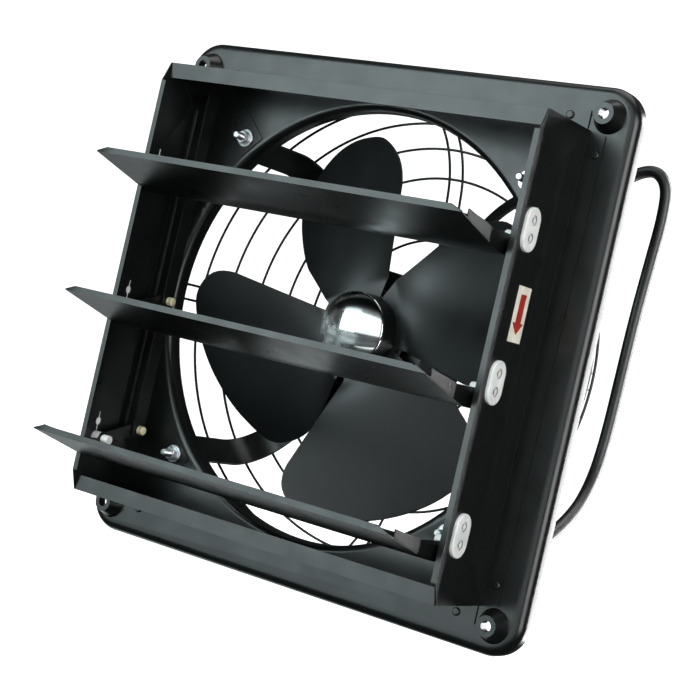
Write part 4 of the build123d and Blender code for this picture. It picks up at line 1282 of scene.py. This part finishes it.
class FAN_OT_stage(bpy.types.Operator):
    """Set the camera, the pale floor with its rising wall, and the soft studio lights"""

    bl_idname = "fan.stage"
    bl_label = "Stage"

    def execute(self, context):
        self.set_camera(context.scene)
        self.make_floor()
        self.make_lights(context.scene.fan_studio)
        context.scene.view_settings.view_transform = "Standard"
        return {"FINISHED"}

    def set_camera(self, scene):
        """The camera's axes are its right, its up and the way behind it."""
        camera = bpy.data.cameras.new("Photo_camera")
        camera.lens = CAMERA_LENS
        camera.sensor_width = 36.0
        camera.sensor_fit = "HORIZONTAL"
        camera.clip_start = 0.02
        eye = bpy.data.objects.new("Photo_camera", camera)
        scene.collection.objects.link(eye)
        right, up = Vector(CAMERA_RIGHT), -Vector(CAMERA_DOWN)
        back = -Vector(CAMERA_FORWARD)
        turn = Matrix((right, up, back)).transposed().to_4x4()
        eye.matrix_world = Matrix.Translation(Vector(CAMERA_PLACE)) @ turn
        scene.camera = eye

    def make_floor(self):
        """A flat disc that rises in a large arc to a round wall, turned about the upright axis."""
        low = CAD_BOX[0][2] - 0.3 * MM
        flat = np.array([(0.0, low), (0.5, low), (1.2, low), (2.4, low)])
        rise = arc_points((2.4, low + 1.0), 1.0, 270, 360, 16)
        wall = np.array([(3.4, low + 2.5), (3.4, low + 5.0)])
        section = np.concatenate([flat, rise[1:], wall])
        angle = full_turn(96)
        radius, height = section[:, :1], np.repeat(section[:, 1:], len(angle), axis=1)
        points = np.stack([radius * np.cos(angle), radius * np.sin(angle), height], axis=-1)
        mesh = mesh_of("Studio_floor", [(points, False, True)])
        mesh.flip_normals()
        mesh.polygons.foreach_set("use_smooth", np.ones(len(mesh.polygons), bool))
        floor = bpy.data.objects.new("Studio_floor", mesh)
        bpy.context.scene.collection.objects.link(floor)
        mesh.materials.append(self.floor_finish())
        floor.visible_glossy = False
        floor.visible_diffuse = False

    def floor_finish(self):
        """Matt white paper that is lit evenly, so its own light keeps it pale in every view."""
        material, tree, place = blank_material("Matt_white_paper")
        tone = two_tones(tree, blotches(tree, place, 60.0, 0.0, 1.0), "#F4F4F3", "#FAFAFA")
        feed = {"Base Color": tone, "Emission Color": tone}
        return close_material(material, tree, feed, roughness=0.9, emission_strength=1.1)

    def make_lights(self, studio):
        middle = (0.0, 0.0, 0.0)
        add_light("Front_softbox", (-0.78, -1.32, 0.42), middle, 0.88, 1.8, studio.key, "#ECFEFF")
        add_light("Front_wall", (0.24, -1.70, 0.30), middle, 1.5, 2.8, studio.front, "#F2FCFC")
        add_light("Right_fill", (1.35, -0.62, 0.15), middle, 0.9, 1.4, studio.fill)
        add_light("Low_back_wall", (-0.82, 0.88, -1.00), middle, 1.2, 0.7, studio.back, "#F2FCFC")
        add_light("Edge_strip", (0.206, 0.135, 0.0), (0.171, 0.012, 0.0), 0.05, 0.42, studio.strip)
        add_light("Top_softbox", (0.1, 0.1, 1.5), middle, 1.2, 1.2, studio.top)
        world = bpy.data.worlds.new("Dim_room")
        bpy.context.scene.world = world
        world.use_nodes = True
        background = world.node_tree.nodes.get("Background")
        background.inputs["Color"].default_value = linear("#EFFBFC")
        background.inputs["Strength"].default_value = studio.room


# ---------------------------------------------------------------- add-on

STEPS = (
    "stage", "cord", "sheet_metal", "louvres", "pads", "fan", "fasteners", "motor_inside", "guard",
)


class FAN_PT_dresser(bpy.types.Panel):
    """Lists the steps that dress the extractor fan"""

    bl_idname = "FAN_PT_dresser"
    bl_label = "Extractor Fan"
    bl_space_type = "VIEW_3D"
    bl_region_type = "UI"
    bl_category = "Extractor Fan"

    def draw(self, context):
        scene = context.scene
        for group in (scene.fan_colours, scene.fan_sizes, scene.fan_studio):
            box = self.layout.box()
            for name in group.bl_rna.properties.keys():
                if name not in ("rna_type", "name"):
                    box.prop(group, name)
        for step in STEPS:
            self.layout.operator(f"fan.{step}")


CLASSES = (
    FanColours, FanSizes, StudioSettings, FAN_OT_cord, FAN_OT_sheet_metal, FAN_OT_louvres,
    FAN_OT_pads, FAN_OT_fan, FAN_OT_fasteners, FAN_OT_motor_inside, FAN_OT_guard, FAN_OT_stage,
    FAN_PT_dresser,
)


def register():
    for kind in CLASSES:
        bpy.utils.register_class(kind)
    bpy.types.Scene.fan_colours = PointerProperty(type=FanColours)
    bpy.types.Scene.fan_sizes = PointerProperty(type=FanSizes)
    bpy.types.Scene.fan_studio = PointerProperty(type=StudioSettings)


def unregister():
    del bpy.types.Scene.fan_studio
    del bpy.types.Scene.fan_sizes
    del bpy.types.Scene.fan_colours
    for kind in reversed(CLASSES):
        bpy.utils.unregister_class(kind)


def main():
    """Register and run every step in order."""
    register()
    for step in STEPS:
        getattr(bpy.ops.fan, step)()


if __name__ == "__main__":
    main()
